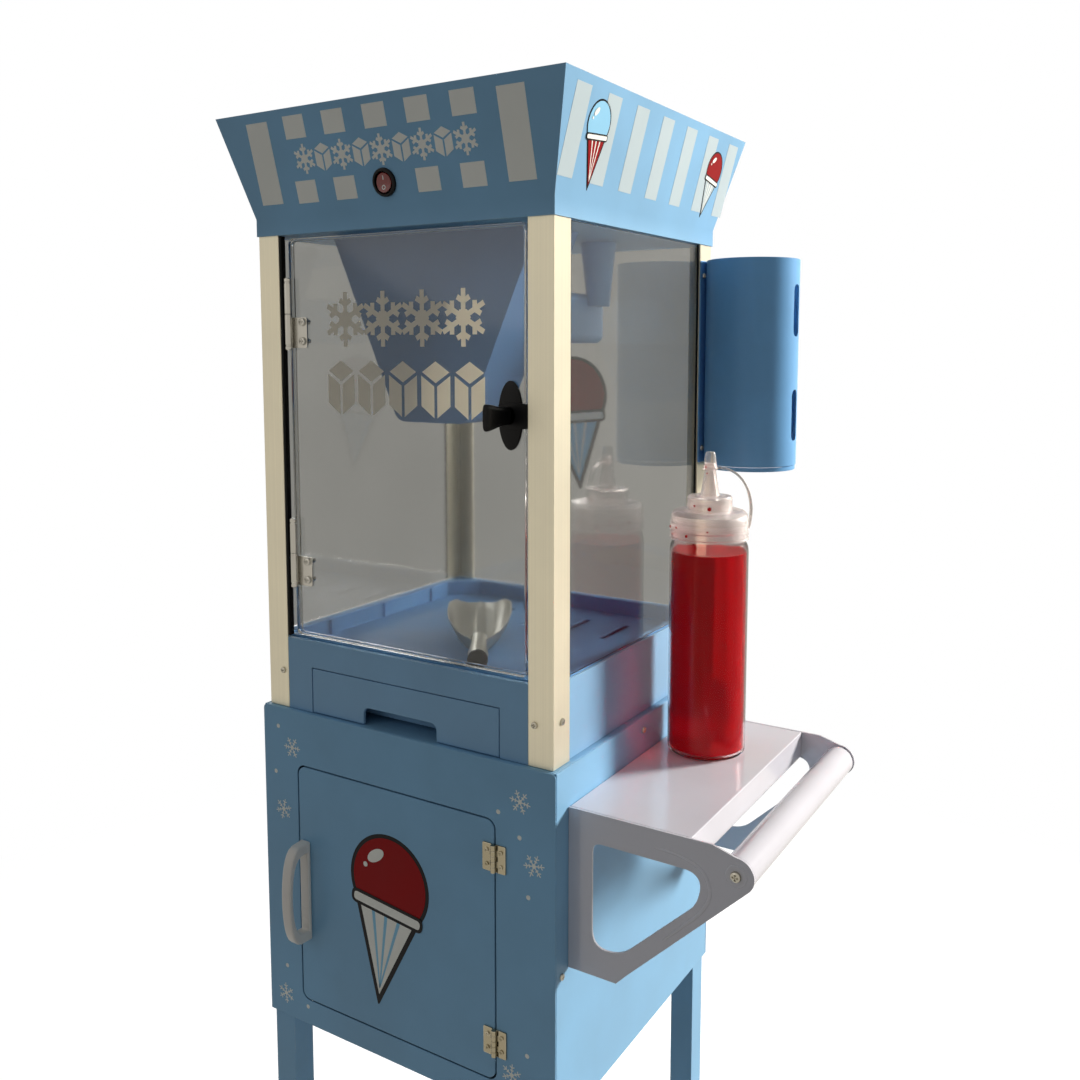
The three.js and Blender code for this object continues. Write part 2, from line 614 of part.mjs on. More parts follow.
function rocker() {
  const face = new THREE.Shape();
  face.moveTo(-3.4, -7.7);
  face.quadraticCurveTo(-1.2, 0, -3.4, 7.7);
  face.lineTo(3, 5.5);
  face.lineTo(3, -5.5);
  face.closePath();
  return common(alongX(face, -7.6, 7.6, 6), cylinder(7.9, 30, 'y', 24));
}
const ROCKER_TILT = THREE.MathUtils.degToRad(8);
add(switchMount, 'switch_rocker', rocker().rotateX(-ROCKER_TILT), redPlastic);

const glandProfile = [
  [gland.bore, -6], [gland.neck, -6], [gland.neck, GAP], [gland.flange, GAP], [gland.flange, 3.5], [5.4, 4.5],
  [4.8, 12], [gland.bore, 12], [gland.bore, -6],
];
add(canopy, 'cord_gland', turned(glandProfile, 20).rotateX(-TURN), blackPlastic, gland.x, band.back, gland.z);

// ---------------------------------------------------------------- shaver head
const hopperLevels = [
  { x0: -feed.half, x1: feed.half, y0: feed.front, y1: feed.back, z: 425 },
  { x0: -feed.half, x1: feed.half, y0: feed.front, y1: feed.back, z: 450 },
  { x0: -iceMouth.half - 4, x1: iceMouth.half + 4, y0: iceMouth.front - 4, y1: iceMouth.back + 4, z: 506 },
  { x0: -iceMouth.half - 4, x1: iceMouth.half + 4, y0: iceMouth.front - 4, y1: iceMouth.back + 4, z: 515.7 },
];

function iceHopper() {
  const wall = 2;
  const inside = hopperLevels.map((level) => shrink(level, wall));
  inside[0].z -= 1;
  inside[3].z += 1;
  return cut(tower(hopperLevels), tower(inside));
}
add(shaverHead, 'ice_hopper', iceHopper(), whitePlastic);

function shaverHousing() {
  const { front, back, top, bottom, topHalf, bottomHalf, wall } = shaver;
  const radius = 9;
  const profile = (inset, lift) => roundedPolygon([
    [-bottomHalf + inset, bottom + inset, radius], [bottomHalf - inset, bottom + inset, radius],
    [topHalf - inset, top + lift, 0.1], [-topHalf + inset, top + lift, 0.1],
  ]);
  return cut(
    alongY(profile(0, 0), front, back),
    alongY(profile(wall, 1), front + wall, back - wall),
    block(-26, 26, front + 8, back - 8, bottom - 5, bottom + 10),
    cylinder(9, 30, 'y').translate(0, back, cutter.z),
  );
}
add(shaverHead, 'shaver_housing', shaverHousing(), bluePlastic);

function cutterDisc() {
  const { radius, front, back } = cutter;
  const middle = (front + back) / 2;
  const disc = cylinder(radius, back - front, 'y', 36).translate(0, middle, 0);
  const hub = cylinder(11, 10, 'y', 20).translate(0, front - 4, 0);
  const shaft = cylinder(5, 44, 'y', 16).translate(0, back + 21, 0);
  const blades = [];
  const slots = [];
  for (let i = 0; i < 3; i += 1) {
    const angle = (i * 2 * Math.PI) / 3;
    blades.push(block(15, 56, front - 3, front + 1, -2, 3).rotateY(angle));
    slots.push(block(15, 56, front - 5, back + 1, 4, 9).rotateY(angle));
  }
  return cut(join(disc, hub, shaft, ...blades), ...slots);
}
add(shaverHead, 'cutter_disc', cutterDisc(), steel, 0, 0, cutter.z);

function motorSolid() {
  const { radius, front, back } = motor;
  const can = cylinder(radius, back - front, 'y', 28).translate(0, (front + back) / 2, 0);
  return cut(can, cylinder(5.4, 14, 'y', 16).translate(0, front + 6, 0));
}
add(shaverHead, 'motor', motorSolid(), steel, 0, 0, cutter.z);

function motorCoverSolid() {
  const { half, back, bottom, top, wall } = motorCover;
  const front = shaver.back + 0.4;
  const box = cut(
    alongY(roundedRect(-half, half, bottom, top, 8), front, back),
    alongY(roundedRect(-half + wall, half - wall, bottom + wall, top - wall, 6), front - 1, back - wall),
  );
  const duct = turned([[0, 372], [11, 372], [12, 386], [17, shaver.top], [0, shaver.top]], 20);
  const ductOnly = cut(duct.translate(76, 215, 0), block(0, half - 1, 0, 400, 300, top - 1));
  return join(box, ductOnly);
}
add(shaverHead, 'motor_cover', motorCoverSolid(), bluePlastic);

// ---------------------------------------------------------------- cone dispenser
function coneTubeSolid() {
  const { x, radius, wall, bottom, top } = coneTube;
  const plateX = post.outer + GAP - x;
  const plate = block(plateX, plateX + wall, -24, 24, bottom, top);
  const tube = cylinder(radius, top - bottom, 'z', 40).translate(0, 0, (top + bottom) / 2);
  const hollow = cylinder(radius - wall, top, 'z', 40).translate(0, 0, (top + bottom) / 2);
  const sight = (z0, z1) => alongX(roundedRect(-6.6, 6.6, z0, z1, 6.5), radius - 10, radius + 10, 4);
  return cut(join(tube, plate), hollow, sight(343, 392), sight(244, 292.7));
}
add(accessories, 'cone_tube', coneTubeSolid(), blueTube, coneTube.x, coneTube.y);

const ringProfile = [[36, 216], [43.4, 216], [43.4, 220], [36, 219], [36, 216]];
add(accessories, 'cone_ring', turned(ringProfile, 40), blueTube, coneTube.x, coneTube.y);

// ---------------------------------------------------------------- scoop lying in the tub
function scoopSolid() {
  const height = 32;
  const plan = new THREE.Shape();
  plan.moveTo(-10, 58);
  plan.quadraticCurveTo(-31, 62, -31, 92);
  plan.lineTo(-27, 160);
  plan.lineTo(27, 160);
  plan.lineTo(31, 92);
  plan.quadraticCurveTo(31, 62, 10, 58);
  plan.closePath();
  const hollow = new THREE.Shape();
  hollow.moveTo(-9, 60.5);
  hollow.quadraticCurveTo(-29, 64, -29, 92);
  hollow.lineTo(-25, 162);
  hollow.lineTo(25, 162);
  hollow.lineTo(29, 92);
  hollow.quadraticCurveTo(29, 64, 9, 60.5);
  hollow.closePath();
  const side = polygon([[50, 0], [165, 0], [165, 9], [75, height], [50, height]]);
  const bowl = common(alongZ(plan, 0, height, 6), alongX(side, -40, 40));
  const handle = cylinder(9, 62, 'y', 20).translate(0, 31, 11);
  return join(cut(bowl, alongZ(hollow, 1.6, height + 1, 6)), handle);
}
const scoop = add(accessories, 'scoop', scoopSolid(), aluminium, 57, 42, tub.bottom + tub.floor + GAP);
scoop.rotation.z = Math.atan2(0.56, 0.83);

// ---------------------------------------------------------------- syrup bottle on the shelf
const bottleStand = group(accessories, bottle.x, bottle.y, shelf.top + GAP);
const { radius: BOTTLE_R, wall: BOTTLE_WALL, shoulder: SHOULDER, neck: NECK_R, liquid: LIQUID } = bottle;
const INNER_R = BOTTLE_R - BOTTLE_WALL;

add(bottleStand, 'bottle', turned([
  [0, 3], [24, 2.5], [29, 0], [BOTTLE_R - 2, 0], [BOTTLE_R, 3], [BOTTLE_R, SHOULDER - 8],
  [BOTTLE_R - 1.5, SHOULDER - 1], [BOTTLE_R - 2.5, SHOULDER], [BOTTLE_R - 2.5, SHOULDER + 14],
  [BOTTLE_R - 4, SHOULDER + 14], [BOTTLE_R - 4, SHOULDER - 4], [INNER_R, SHOULDER - 9],
  [INNER_R, 5], [24, 5], [0, 5.5],
]), milkyPlastic);
add(bottleStand, 'syrup', turned([
  [0, 6], [24, 5.5], [INNER_R - GAP, 5.5], [INNER_R - GAP, SHOULDER - 10], [INNER_R - 3, LIQUID], [0, LIQUID],
]), syrupRed);

const CAP_BASE = SHOULDER + GAP;
const capProfile = [
  [BOTTLE_R - 2.1, CAP_BASE], [BOTTLE_R - 0.4, CAP_BASE], [BOTTLE_R - 0.4, 218], [BOTTLE_R - 3, 221.3],
  [NECK_R, 222], [NECK_R, 233.7], [8.6, 234], [4.6, 256.5], [3.2, 262], [1.6, 262], [3, 255], [6.8, 232],
  [NECK_R - 2, 231.5], [NECK_R - 2, 220], [BOTTLE_R - 2.1, 216], [BOTTLE_R - 2.1, CAP_BASE],
];
add(bottleStand, 'bottle_cap', turned(capProfile), whitePlastic);

// The tip cap covers the spout's end, and its strap curves down to a ring round the collar.
function tipCap() {
  const collar = NECK_R + GAP;
  const cup = turned([
    [5.2, 257.2], [6.6, 257.2], [4.6, 273], [0, 273.3], [0, 263], [3.6, 263], [5.2, 257.2],
  ], 20);
  const ring = turned([[collar, 223], [collar + 2, 223], [collar + 2, 226], [collar, 226], [collar, 223]]);
  const arch = new THREE.CubicBezierCurve3(
    new THREE.Vector3(5.8, 0, 258.6),
    new THREE.Vector3(30, 0, 262),
    new THREE.Vector3(42, 0, 240),
    new THREE.Vector3(collar + 1.2, 0, 224.5),
  );
  const section = polygon([[-0.8, -2.2], [0.8, -2.2], [0.8, 2.2], [-0.8, 2.2]]);
  const strap = new THREE.ExtrudeGeometry(section, { steps: 14, extrudePath: arch });
  return join(cup, ring, strap).rotateZ(0.6);
}
add(bottleStand, 'tip_cap', tipCap(), whitePlastic);

// ---------------------------------------------------------------- origin
// The origin is the middle of the machine's footprint box, on the floor.
inCabinetFrame.position.z = -FLOOR;
const box = new THREE.Box3().setFromObject(machine, true);
inCabinetFrame.position.x = -(box.min.x + box.max.x) / 2;
inCabinetFrame.position.y = -(box.min.y + box.max.y) / 2;
inCabinetFrame.updateMatrixWorld(true);

export default machine;
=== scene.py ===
"""The looks of a shaved ice machine on a cabinet cart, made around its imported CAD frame.

Shapes are drawn in millimetres from the middle of the cabinet's top front edge:
x to the right, y to the back and z up. row() turns such a point into the row frame, in metres.
"""

import json
import math

import bmesh
import bpy
from mathutils import Matrix, Vector

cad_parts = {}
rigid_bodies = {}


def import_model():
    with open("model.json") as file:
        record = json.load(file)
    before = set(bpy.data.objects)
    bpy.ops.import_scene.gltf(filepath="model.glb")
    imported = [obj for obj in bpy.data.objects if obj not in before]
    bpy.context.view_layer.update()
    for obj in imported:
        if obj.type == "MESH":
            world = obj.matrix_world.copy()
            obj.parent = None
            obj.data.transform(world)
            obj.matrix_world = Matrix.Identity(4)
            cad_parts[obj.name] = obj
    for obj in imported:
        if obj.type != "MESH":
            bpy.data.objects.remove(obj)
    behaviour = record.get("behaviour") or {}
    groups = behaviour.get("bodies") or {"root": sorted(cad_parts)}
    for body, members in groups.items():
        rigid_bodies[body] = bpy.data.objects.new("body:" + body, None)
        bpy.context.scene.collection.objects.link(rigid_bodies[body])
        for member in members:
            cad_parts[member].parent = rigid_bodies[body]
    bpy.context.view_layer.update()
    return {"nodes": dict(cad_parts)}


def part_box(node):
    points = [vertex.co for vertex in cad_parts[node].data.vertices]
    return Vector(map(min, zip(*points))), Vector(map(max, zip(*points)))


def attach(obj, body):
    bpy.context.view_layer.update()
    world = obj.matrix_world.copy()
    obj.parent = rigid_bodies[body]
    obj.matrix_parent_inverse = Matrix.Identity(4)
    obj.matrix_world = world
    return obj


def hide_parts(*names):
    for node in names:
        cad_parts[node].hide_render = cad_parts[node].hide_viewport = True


for left_over in list(bpy.data.objects):
    bpy.data.objects.remove(left_over)
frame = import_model()

MM = 0.001
TURN = 2 * math.pi
TINY = 1e-5  # the radius of a point that closes a turned shape
SHARP = 32  # degrees between two faces from which an edge stays sharp
FRONT_LOW, FRONT_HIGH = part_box("cabinet_front")
ORIGIN = Vector(((FRONT_LOW.x + FRONT_HIGH.x) / 2, FRONT_LOW.y, FRONT_HIGH.z))


def row(point):
    return ORIGIN + Vector(point) * MM


def span(node):
    """Lowest corner, highest corner and middle of a CAD node, in mm."""
    low, high = ((corner - ORIGIN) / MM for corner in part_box(node))
    return low, high, (low + high) / 2


# ------------------------------------------------------------------ shader nodes
def node(tree, kind, inputs=(), **settings):
    made = tree.nodes.new("ShaderNode" + kind)
    for key, value in settings.items():
        setattr(made, key, value)
    for socket, value in dict(inputs).items():
        if isinstance(value, bpy.types.NodeSocket):
            tree.links.new(value, made.inputs[socket])
        else:
            made.inputs[socket].default_value = value
    return made


def colour(red, green, blue):
    """An sRGB colour of 0 to 255 as a linear one."""
    parts = [c / 255 for c in (red, green, blue)]
    return [c / 12.92 if c < 0.04045 else ((c + 0.055) / 1.055) ** 2.4 for c in parts] + [1]


def noise(tree, scale, stretch=(1, 1, 1), detail=3):
    place = node(tree, "TexCoord").outputs["Object"]
    vector = node(tree, "Mapping", {"Vector": place, "Scale": stretch}).outputs[0]
    return node(tree, "TexNoise", {"Vector": vector, "Scale": scale, "Detail": detail}).outputs[0]


def spread(tree, value, start, end, low=0, high=1):
    """value from start to end, as low to high."""
    return node(tree, "MapRange", {0: value, 1: start, 2: end, 3: low, 4: high}).outputs[0]


def times(tree, first, second):
    return node(tree, "Math", {0: first, 1: second}, operation="MULTIPLY").outputs[0]


def mixed(tree, share, first, second):
    return node(tree, "Mix", {0: share, 6: first, 7: second}, data_type="RGBA").outputs[2]


def edge_wear(tree, radius):
    """1 in patches along the edges, 0 elsewhere."""
    round_normal = node(tree, "Bevel", {"Radius": radius * MM}, samples=4).outputs[0]
    normal = node(tree, "NewGeometry").outputs["Normal"]
    facing = node(tree, "VectorMath", {0: round_normal, 1: normal}, operation="DOT_PRODUCT")
    edges = spread(tree, facing.outputs["Value"], 0.985, 0.8)
    return times(tree, edges, spread(tree, noise(tree, 70), 0.46, 0.6))


def finish(name, tone, rough, grain=450, relief=0.1, drift=0.06, stretch=(1, 1, 1), worn=None,
           wear=1.2, lines=0, slot=None, **sockets):
    """A finish with drifting tone and gloss, fine grain and worn edges.

    tone and worn are sRGB colours, grain is in cycles a metre, stretch draws the grain out,
    lines adds fine lines along the stretched way, and sockets are set on the shader itself.
    """
    material = bpy.data.materials.new(name)
    material.use_nodes = True
    tree = material.node_tree
    shader = tree.nodes["Principled BSDF"]
    fine = noise(tree, grain, stretch)
    broad = noise(tree, 9, detail=5)
    base = colour(*tone)
    darker = [c * (1 - drift) for c in base[:3]] + [1]
    lighter = [min(1, c * (1 + drift)) for c in base[:3]] + [1]
    tint = mixed(tree, spread(tree, broad, 0.36, 0.64), darker, lighter)
    gloss = spread(tree, broad, 0.3, 0.7, rough * 0.85, rough * 1.2 + 0.02)
    if lines:
        streaks = spread(tree, noise(tree, grain * 0.7, stretch, 2), 0.35, 0.65)
        tint = mixed(tree, times(tree, streaks, lines), tint, [c * 0.72 for c in base[:3]] + [1])
    if worn:
        mask = edge_wear(tree, wear)
        tint = mixed(tree, times(tree, mask, 0.7), tint, colour(*worn))
        gloss = node(tree, "Math", {0: mask, 1: 0.12, 2: gloss}, operation="MULTIPLY_ADD").outputs[0]
    bump = node(tree, "Bump", {"Strength": relief, "Distance": 0.0004, "Height": fine})
    tree.links.new(tint, shader.inputs["Base Color"])
    tree.links.new(gloss, shader.inputs["Roughness"])
    tree.links.new(bump.outputs[0], shader.inputs["Normal"])
    shader.inputs["Specular IOR Level"].default_value = 0.32
    for socket, value in sockets.items():
        shader.inputs[socket.replace("_", " ")].default_value = value
    if slot:
        material["slot"] = slot
    return material


def clear(name, tone, rough, shade=0.85, **options):
    """A finish that light passes through, whose shadow is only as dark as shade says."""
    material = finish(name, tone, rough, drift=0.02, **options)
    tree = material.node_tree
    shader, output = tree.nodes["Principled BSDF"], tree.nodes["Material Output"]
    through = node(tree, "BsdfTransparent", {"Color": [c * shade for c in colour(*tone)[:3]] + [1]})
    shadow = node(tree, "LightPath").outputs["Is Shadow Ray"]
    both = node(tree, "MixShader", {0: shadow, 1: shader.outputs[0], 2: through.outputs[0]})
    tree.links.new(both.outputs[0], output.inputs["Surface"])
    return material


CREAM = (240, 232, 208)
LOOKS = {
    "blue_paint": finish("enamel_blue", (134, 181, 215), 0.4, worn=(176, 198, 212), relief=0.05,
                         slot="blue_paint", Coat_Weight=0.05, Coat_Roughness=0.2,
                         Specular_IOR_Level=0.22),
    "blue_plastic": finish("moulded_blue", (126, 172, 214), 0.4, grain=900, worn=(160, 196, 226),
                           slot="blue_plastic"),
    "blue_tube": finish("satin_blue", (116, 174, 224), 0.4, relief=0.06, worn=(150, 186, 216),
                        slot="blue_tube"),
    "cream_trim": finish("cream_extrusion", CREAM, 0.5, grain=900, stretch=(1, 1, 0.002), lines=0.14,
                         relief=0.12, worn=(200, 192, 172), slot="cream_trim", Metallic=0.6),
    "white_gloss": finish("white_enamel", (218, 216, 224), 0.16, relief=0.03, drift=0.03,
                          worn=(196, 198, 202), slot="white_gloss", Coat_Weight=0.4),
    "white_plastic": finish("white_moulding", (232, 234, 232), 0.34, grain=900, drift=0.03,
                            worn=(206, 208, 206), slot="white_plastic"),
    "nickel": finish("nickel_plate", (158, 150, 128), 0.26, grain=700, stretch=(1, 1, 0.06),
                     worn=(226, 222, 210), slot="nickel", Metallic=1.0),
    "steel": finish("brushed_steel", (170, 172, 175), 0.3, grain=700, stretch=(1, 0.05, 1), lines=0.3,
                    worn=(214, 216, 218), slot="steel", Metallic=1.0),
    "black_plastic": finish("black_moulding", (10, 10, 12), 0.3, grain=1200, drift=0.15,
                            worn=(40, 40, 44), slot="black_plastic", Specular_IOR_Level=0.14),
    "scoop_aluminium": finish("cast_aluminium", (196, 194, 184), 0.34, grain=600, relief=0.3,
                              drift=0.1, worn=(224, 222, 214), slot="scoop_aluminium", Metallic=1.0),
    "wheel_plastic": finish("wheel_moulding", (44, 46, 50), 0.55, grain=800, relief=0.2,
                            worn=(90, 92, 96), slot="wheel_plastic"),
    "red_plastic": finish("red_rocker", (150, 12, 16), 0.2, grain=900, relief=0.03,
                          slot="red_plastic", Transmission_Weight=0.25, Coat_Weight=0.5),
    "clear_pane": clear("case_glass", (243, 244, 244), 0.03, shade=0.5, relief=0.01, slot="clear_pane",
                        IOR=1.5, Specular_IOR_Level=0.22),
    "clear_door": clear("acrylic", (246, 247, 247), 0.04, relief=0.02, slot="clear_door", IOR=1.49,
                        Specular_IOR_Level=0.16),
    "bottle_plastic": clear("bottle_film", (252, 240, 240), 0.07, shade=0.8, relief=0.05, grain=120,
                            slot="bottle_plastic", Transmission_Weight=1.0, IOR=1.12),
    "syrup_red": clear("red_syrup", (206, 0, 20), 0.05, shade=0.4, relief=0.02, grain=60,
                       slot="syrup_red", Transmission_Weight=0.55, IOR=1.3, Coat_Weight=0.15),
}
for pane in ("clear_pane", "clear_door"):
    LOOKS[pane].node_tree.nodes["Principled BSDF"].inputs["Transmission Weight"].default_value = 1.0

MILKY = clear("milky_plastic", (255, 249, 247), 0.22, shade=0.7, relief=0.1, grain=300,
              slot="white_plastic", Transmission_Weight=0.8, IOR=1.3)
MATT = {"Specular_IOR_Level": 0.12}
INKS = {
    "white": finish("white_vinyl", (250, 249, 240), 0.4, grain=1500, relief=0.05, drift=0.03, **MATT),
    "cream": finish("cream_vinyl", (250, 243, 230), 0.4, grain=1500, relief=0.05, drift=0.03, **MATT),
    "pale": finish("pale_blue_vinyl", (190, 204, 208), 0.4, grain=1500, relief=0.05, drift=0.03, **MATT),
    "sky": finish("sky_vinyl", (150, 206, 236), 0.4, grain=1500, relief=0.05, drift=0.03, **MATT),
    "red": finish("red_vinyl", (150, 5, 11), 0.42, grain=1500, relief=0.05, drift=0.06, **MATT),
    "black": finish("black_vinyl", (16, 16, 20), 0.36, grain=1500, relief=0.05, drift=0.1, **MATT),
}
sheer = INKS["cream"].node_tree
glow_through = node(sheer, "BsdfTranslucent", {"Color": colour(255, 250, 236)})
both_sides = node(sheer, "MixShader", {0: 0.42, 1: sheer.nodes["Principled BSDF"].outputs[0],
                                       2: glow_through.outputs[0]})
sheer.links.new(both_sides.outputs[0], sheer.nodes["Material Output"].inputs["Surface"])
CHROME = finish("chrome_plate", (178, 176, 170), 0.2, grain=700, relief=0.06, worn=(226, 224, 216),
                slot="nickel", Metallic=1.0)
GRIP = finish("grip_plastic", (236, 230, 222), 0.3, relief=0.08, grain=700, drift=0.03, worn=(216, 212, 204),
              slot="white_plastic")
STRIP_BLACK = finish("strip_black", (10, 10, 11), 0.62, grain=1500, relief=0.15, drift=0.2, **MATT)
SCREW = finish("screw_steel", (176, 172, 160), 0.28, grain=1500, relief=0.1, worn=(220, 216, 206),
               Metallic=1.0)


# ------------------------------------------------------------------ shapes, as bmeshes in mm
def skin(rings, loop=False):
    """A closed solid through rings of points, capped at both ends unless it closes on itself."""
    shape = bmesh.new()
    rows = [[shape.verts.new(point) for point in ring] for ring in rings]
    for low, high in zip(rows, rows[1:] + rows[:1] if loop else rows[1:]):
        for i in range(len(low)):
            j = (i + 1) % len(low)
            shape.faces.new((low[i], low[j], high[j], high[i]))
    if not loop:
        shape.faces.new(rows[0][::-1])
        shape.faces.new(rows[-1])
    bmesh.ops.remove_doubles(shape, verts=shape.verts[:], dist=1e-4)
    bmesh.ops.recalc_face_normals(shape, faces=shape.faces[:])
    return shape


def circle(radius, steps=32, tall=None):
    tall = radius if tall is None else tall
    return [(radius * math.cos(TURN * i / steps), tall * math.sin(TURN * i / steps))
            for i in range(steps)]


def turned(profile, base=(0, 0, 0), axis=(0, 0, 1), steps=40, loop=False):
    """A solid of revolution: profile holds (radius, height along the axis)."""
    turn = Vector((0, 0, 1)).rotation_difference(Vector(axis))
    return skin([[Vector(base) + turn @ Vector((a, b, height)) for a, b in circle(max(radius, TINY), steps)]
                 for radius, height in profile], loop)


def swept(path, section, up=(0, 0, 1), loop=False, sizes=None):
    """A section of (sideways, upwards) points carried along a path."""
    path = [Vector(point) for point in path]
    rings = []
    for i, point in enumerate(path):
        ahead = path[(i + 1) % len(path)] if loop or i + 1 < len(path) else point
        behind = path[i - 1] if loop or i else point
        along = (ahead - behind).normalized()
        side = along.cross(Vector(up)).normalized()
        size = sizes[i] if sizes else 1
        rings.append([point + (side * a + side.cross(along) * b) * size for a, b in section])
    return skin(rings, loop)


def spline(points, steps=8):
    """A smooth curve through points (Catmull-Rom)."""
    points = [Vector(point) for point in points]
    ends = [points[0] * 2 - points[1], *points, points[-1] * 2 - points[-2]]
    curve = []
    for p0, p1, p2, p3 in zip(ends, ends[1:], ends[2:], ends[3:]):
        for k in range(steps):
            t = k / steps
            curve.append(0.5 * (2 * p1 + (p2 - p0) * t + (2 * p0 - 5 * p1 + 4 * p2 - p3) * t * t
                                + (3 * p1 - p0 - 3 * p2 + p3) * t ** 3))
    return curve + [points[-1]]


def rounded(corners, steps=6):
    """An outline whose corners (a, b, radius) are rounded."""
    outline = []
    for i, (a, b, radius) in enumerate(corners):
        corner = Vector((a, b))
        if not radius:
            outline.append(corner)
            continue
        start = corner + (Vector(corners[i - 1][:2]) - corner).normalized() * radius
        end = corner + (Vector(corners[(i + 1) % len(corners)][:2]) - corner).normalized() * radius
        for k in range(steps + 1):
            t = k / steps
            outline.append(start * (1 - t) ** 2 + corner * 2 * t * (1 - t) + end * t * t)
    return outline


def panel(a0, a1, b0, b1, radius=0):
    return rounded([(a0, b0, radius), (a1, b0, radius), (a1, b1, radius), (a0, b1, radius)])


def slab(outlines, place, low, high):
    """A plate whose outlines (the edge, then its holes) lie at place(a, b, c), c from low to high."""
    shape = bmesh.new()
    for outline in outlines:
        points = [shape.verts.new((a, b, low)) for a, b in outline]
        for i, point in enumerate(points):
            shape.edges.new((points[i - 1], point))
    bmesh.ops.triangle_fill(shape, use_beauty=True, edges=shape.edges[:])
    raised = bmesh.ops.extrude_face_region(shape, geom=shape.faces[:])["geom"]
    for vert in (item for item in raised if isinstance(item, bmesh.types.BMVert)):
        vert.co.z = high
    for vert in shape.verts:
        vert.co = place(*vert.co)
    bmesh.ops.recalc_face_normals(shape, faces=shape.faces[:])
    return shape


def block(low, high):
    return slab([panel(low[0], high[0], low[1], high[1])], lambda a, b, c: (a, b, c), low[2], high[2])


def fuse(*shapes):
    """Several shapes as one bmesh, side by side."""
    whole = bmesh.new()
    for shape in shapes:
        passing = bpy.data.meshes.new("passing")
        shape.to_mesh(passing)
        shape.free()
        whole.from_mesh(passing)
        bpy.data.meshes.remove(passing)
    return whole


def carve(shape, *tools):
    """The shape with the tools cut out of it."""
    holders = []
    for part in (shape, *tools):
        mesh = bpy.data.meshes.new("carved")
        part.to_mesh(mesh)
        part.free()
        holders.append(bpy.data.objects.new("carved", mesh))
        bpy.context.scene.collection.objects.link(holders[-1])
    for tool in holders[1:]:
        cut = holders[0].modifiers.new("cut", "BOOLEAN")
        cut.operation, cut.solver, cut.object = "DIFFERENCE", "EXACT", tool
    result = bmesh.new()
    result.from_mesh(holders[0].evaluated_get(bpy.context.evaluated_depsgraph_get()).to_mesh())
    for holder in holders:
        mesh = holder.data
        bpy.data.objects.remove(holder)
        bpy.data.meshes.remove(mesh)
    return result


def turn_about(shape, centre, axis, angle):
    """The shape turned by an angle in degrees about an axis through centre."""
    bmesh.ops.rotate(shape, verts=shape.verts[:], cent=Vector(centre),
                     matrix=Matrix.Rotation(math.radians(angle), 3, Vector(axis)))
    return shape


# ------------------------------------------------------------------ pieces
def smoothing(limit):
    """Modifier nodes that shade smooth, apart from edges sharper than limit degrees."""
    group = bpy.data.node_groups.new("shade_smooth", "GeometryNodeTree")
    for way in ("INPUT", "OUTPUT"):
        group.interface.new_socket("Geometry", in_out=way, socket_type="NodeSocketGeometry")
    source, result = group.nodes.new("NodeGroupInput"), group.nodes.new("NodeGroupOutput")
    bare = group.nodes.new("GeometryNodeRemoveAttribute")
    bare.inputs["Name"].default_value = "custom_normal"
    angle = group.nodes.new("GeometryNodeInputMeshEdgeAngle")
    sharp = group.nodes.new("FunctionNodeCompare")
    sharp.operation = "GREATER_THAN"
    sharp.inputs[1].default_value = math.radians(limit)
    faces, edges = (group.nodes.new("GeometryNodeSetShadeSmooth") for _ in range(2))
    edges.domain = "EDGE"
    edges.inputs["Shade Smooth"].default_value = False
    for start, end in ((source.outputs[0], bare.inputs[0]), (bare.outputs[0], faces.inputs[0]),
                       (faces.outputs[0], edges.inputs[0]), (angle.outputs[0], sharp.inputs[0]),
                       (sharp.outputs[0], edges.inputs["Selection"]), (edges.outputs[0], result.inputs[0])):
        group.links.new(start, end)
    return group


SMOOTH = smoothing(SHARP)


def soften(item, edge, segments=2):
    """Rounds the sharp edges of a piece by edge mm and evens its shading."""
    smooth = item.modifiers.new("smooth", "NODES")
    smooth.node_group = SMOOTH
    if edge:
        bevel = item.modifiers.new("bevel", "BEVEL")
        bevel.width, bevel.segments = edge * MM, segments
        bevel.limit_method, bevel.angle_limit = "ANGLE", math.radians(SHARP)
    even = item.modifiers.new("even", "WEIGHTED_NORMAL")
    even.keep_sharp = True


def add(name, shape, look, body="frame", replaces=(), edge=0.0, segments=2):
    """Makes a piece that rides on a CAD body from a shape."""
    for vert in shape.verts:
        vert.co = row(vert.co)
    mesh = bpy.data.meshes.new(name)
    shape.to_mesh(mesh)
    shape.free()
    item = bpy.data.objects.new(name, mesh)
    bpy.context.scene.collection.objects.link(item)
    item.data.materials.append(look)
    soften(item, edge, segments)
    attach(item, body)
    if replaces:
        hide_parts(*replaces)
    return item


def screw(centre, axis, radius=3.2):
    """A pan head with a cross recess."""
    steps = 24
    turn = Vector((0, 0, 1)).rotation_difference(Vector(axis))
    rings = []
    for share, height in ((1, 0), (1, 0.25), (0.9, 0.48), (0.62, 0.62), (0.58, 0.62), (0.2, 0.66),
                          (0.16, 0.66)):
        ring = []
        for i in range(steps):
            in_cross = i % 6 in (0, 1, 5) if share < 0.3 else i % 6 == 0
            sunk = 0.3 if share < 0.6 and in_cross else 0
            a = TURN * i / steps
            ring.append(Vector(centre) + turn @ Vector(
                (radius * share * math.cos(a), radius * share * math.sin(a), radius * (height - sunk))))
        rings.append(ring)
    return skin(rings)


def dress(name, edge=0.5, look=None):
    """Gives a CAD node its finish, smooth shading and rounded edges."""
    item = frame["nodes"][name]
    holder = item.material_slots[0]
    holder.material = look or LOOKS[holder.material.name.split(".")[0]]
    item.modifiers.new("weld", "WELD").merge_threshold = 1e-5
    flat = item.modifiers.new("flat", "DECIMATE")
    flat.decimate_type, flat.angle_limit = "DISSOLVE", math.radians(0.5)
    soften(item, edge)


def on_front(y):
    return lambda a, b, c: (a, y - c, b)


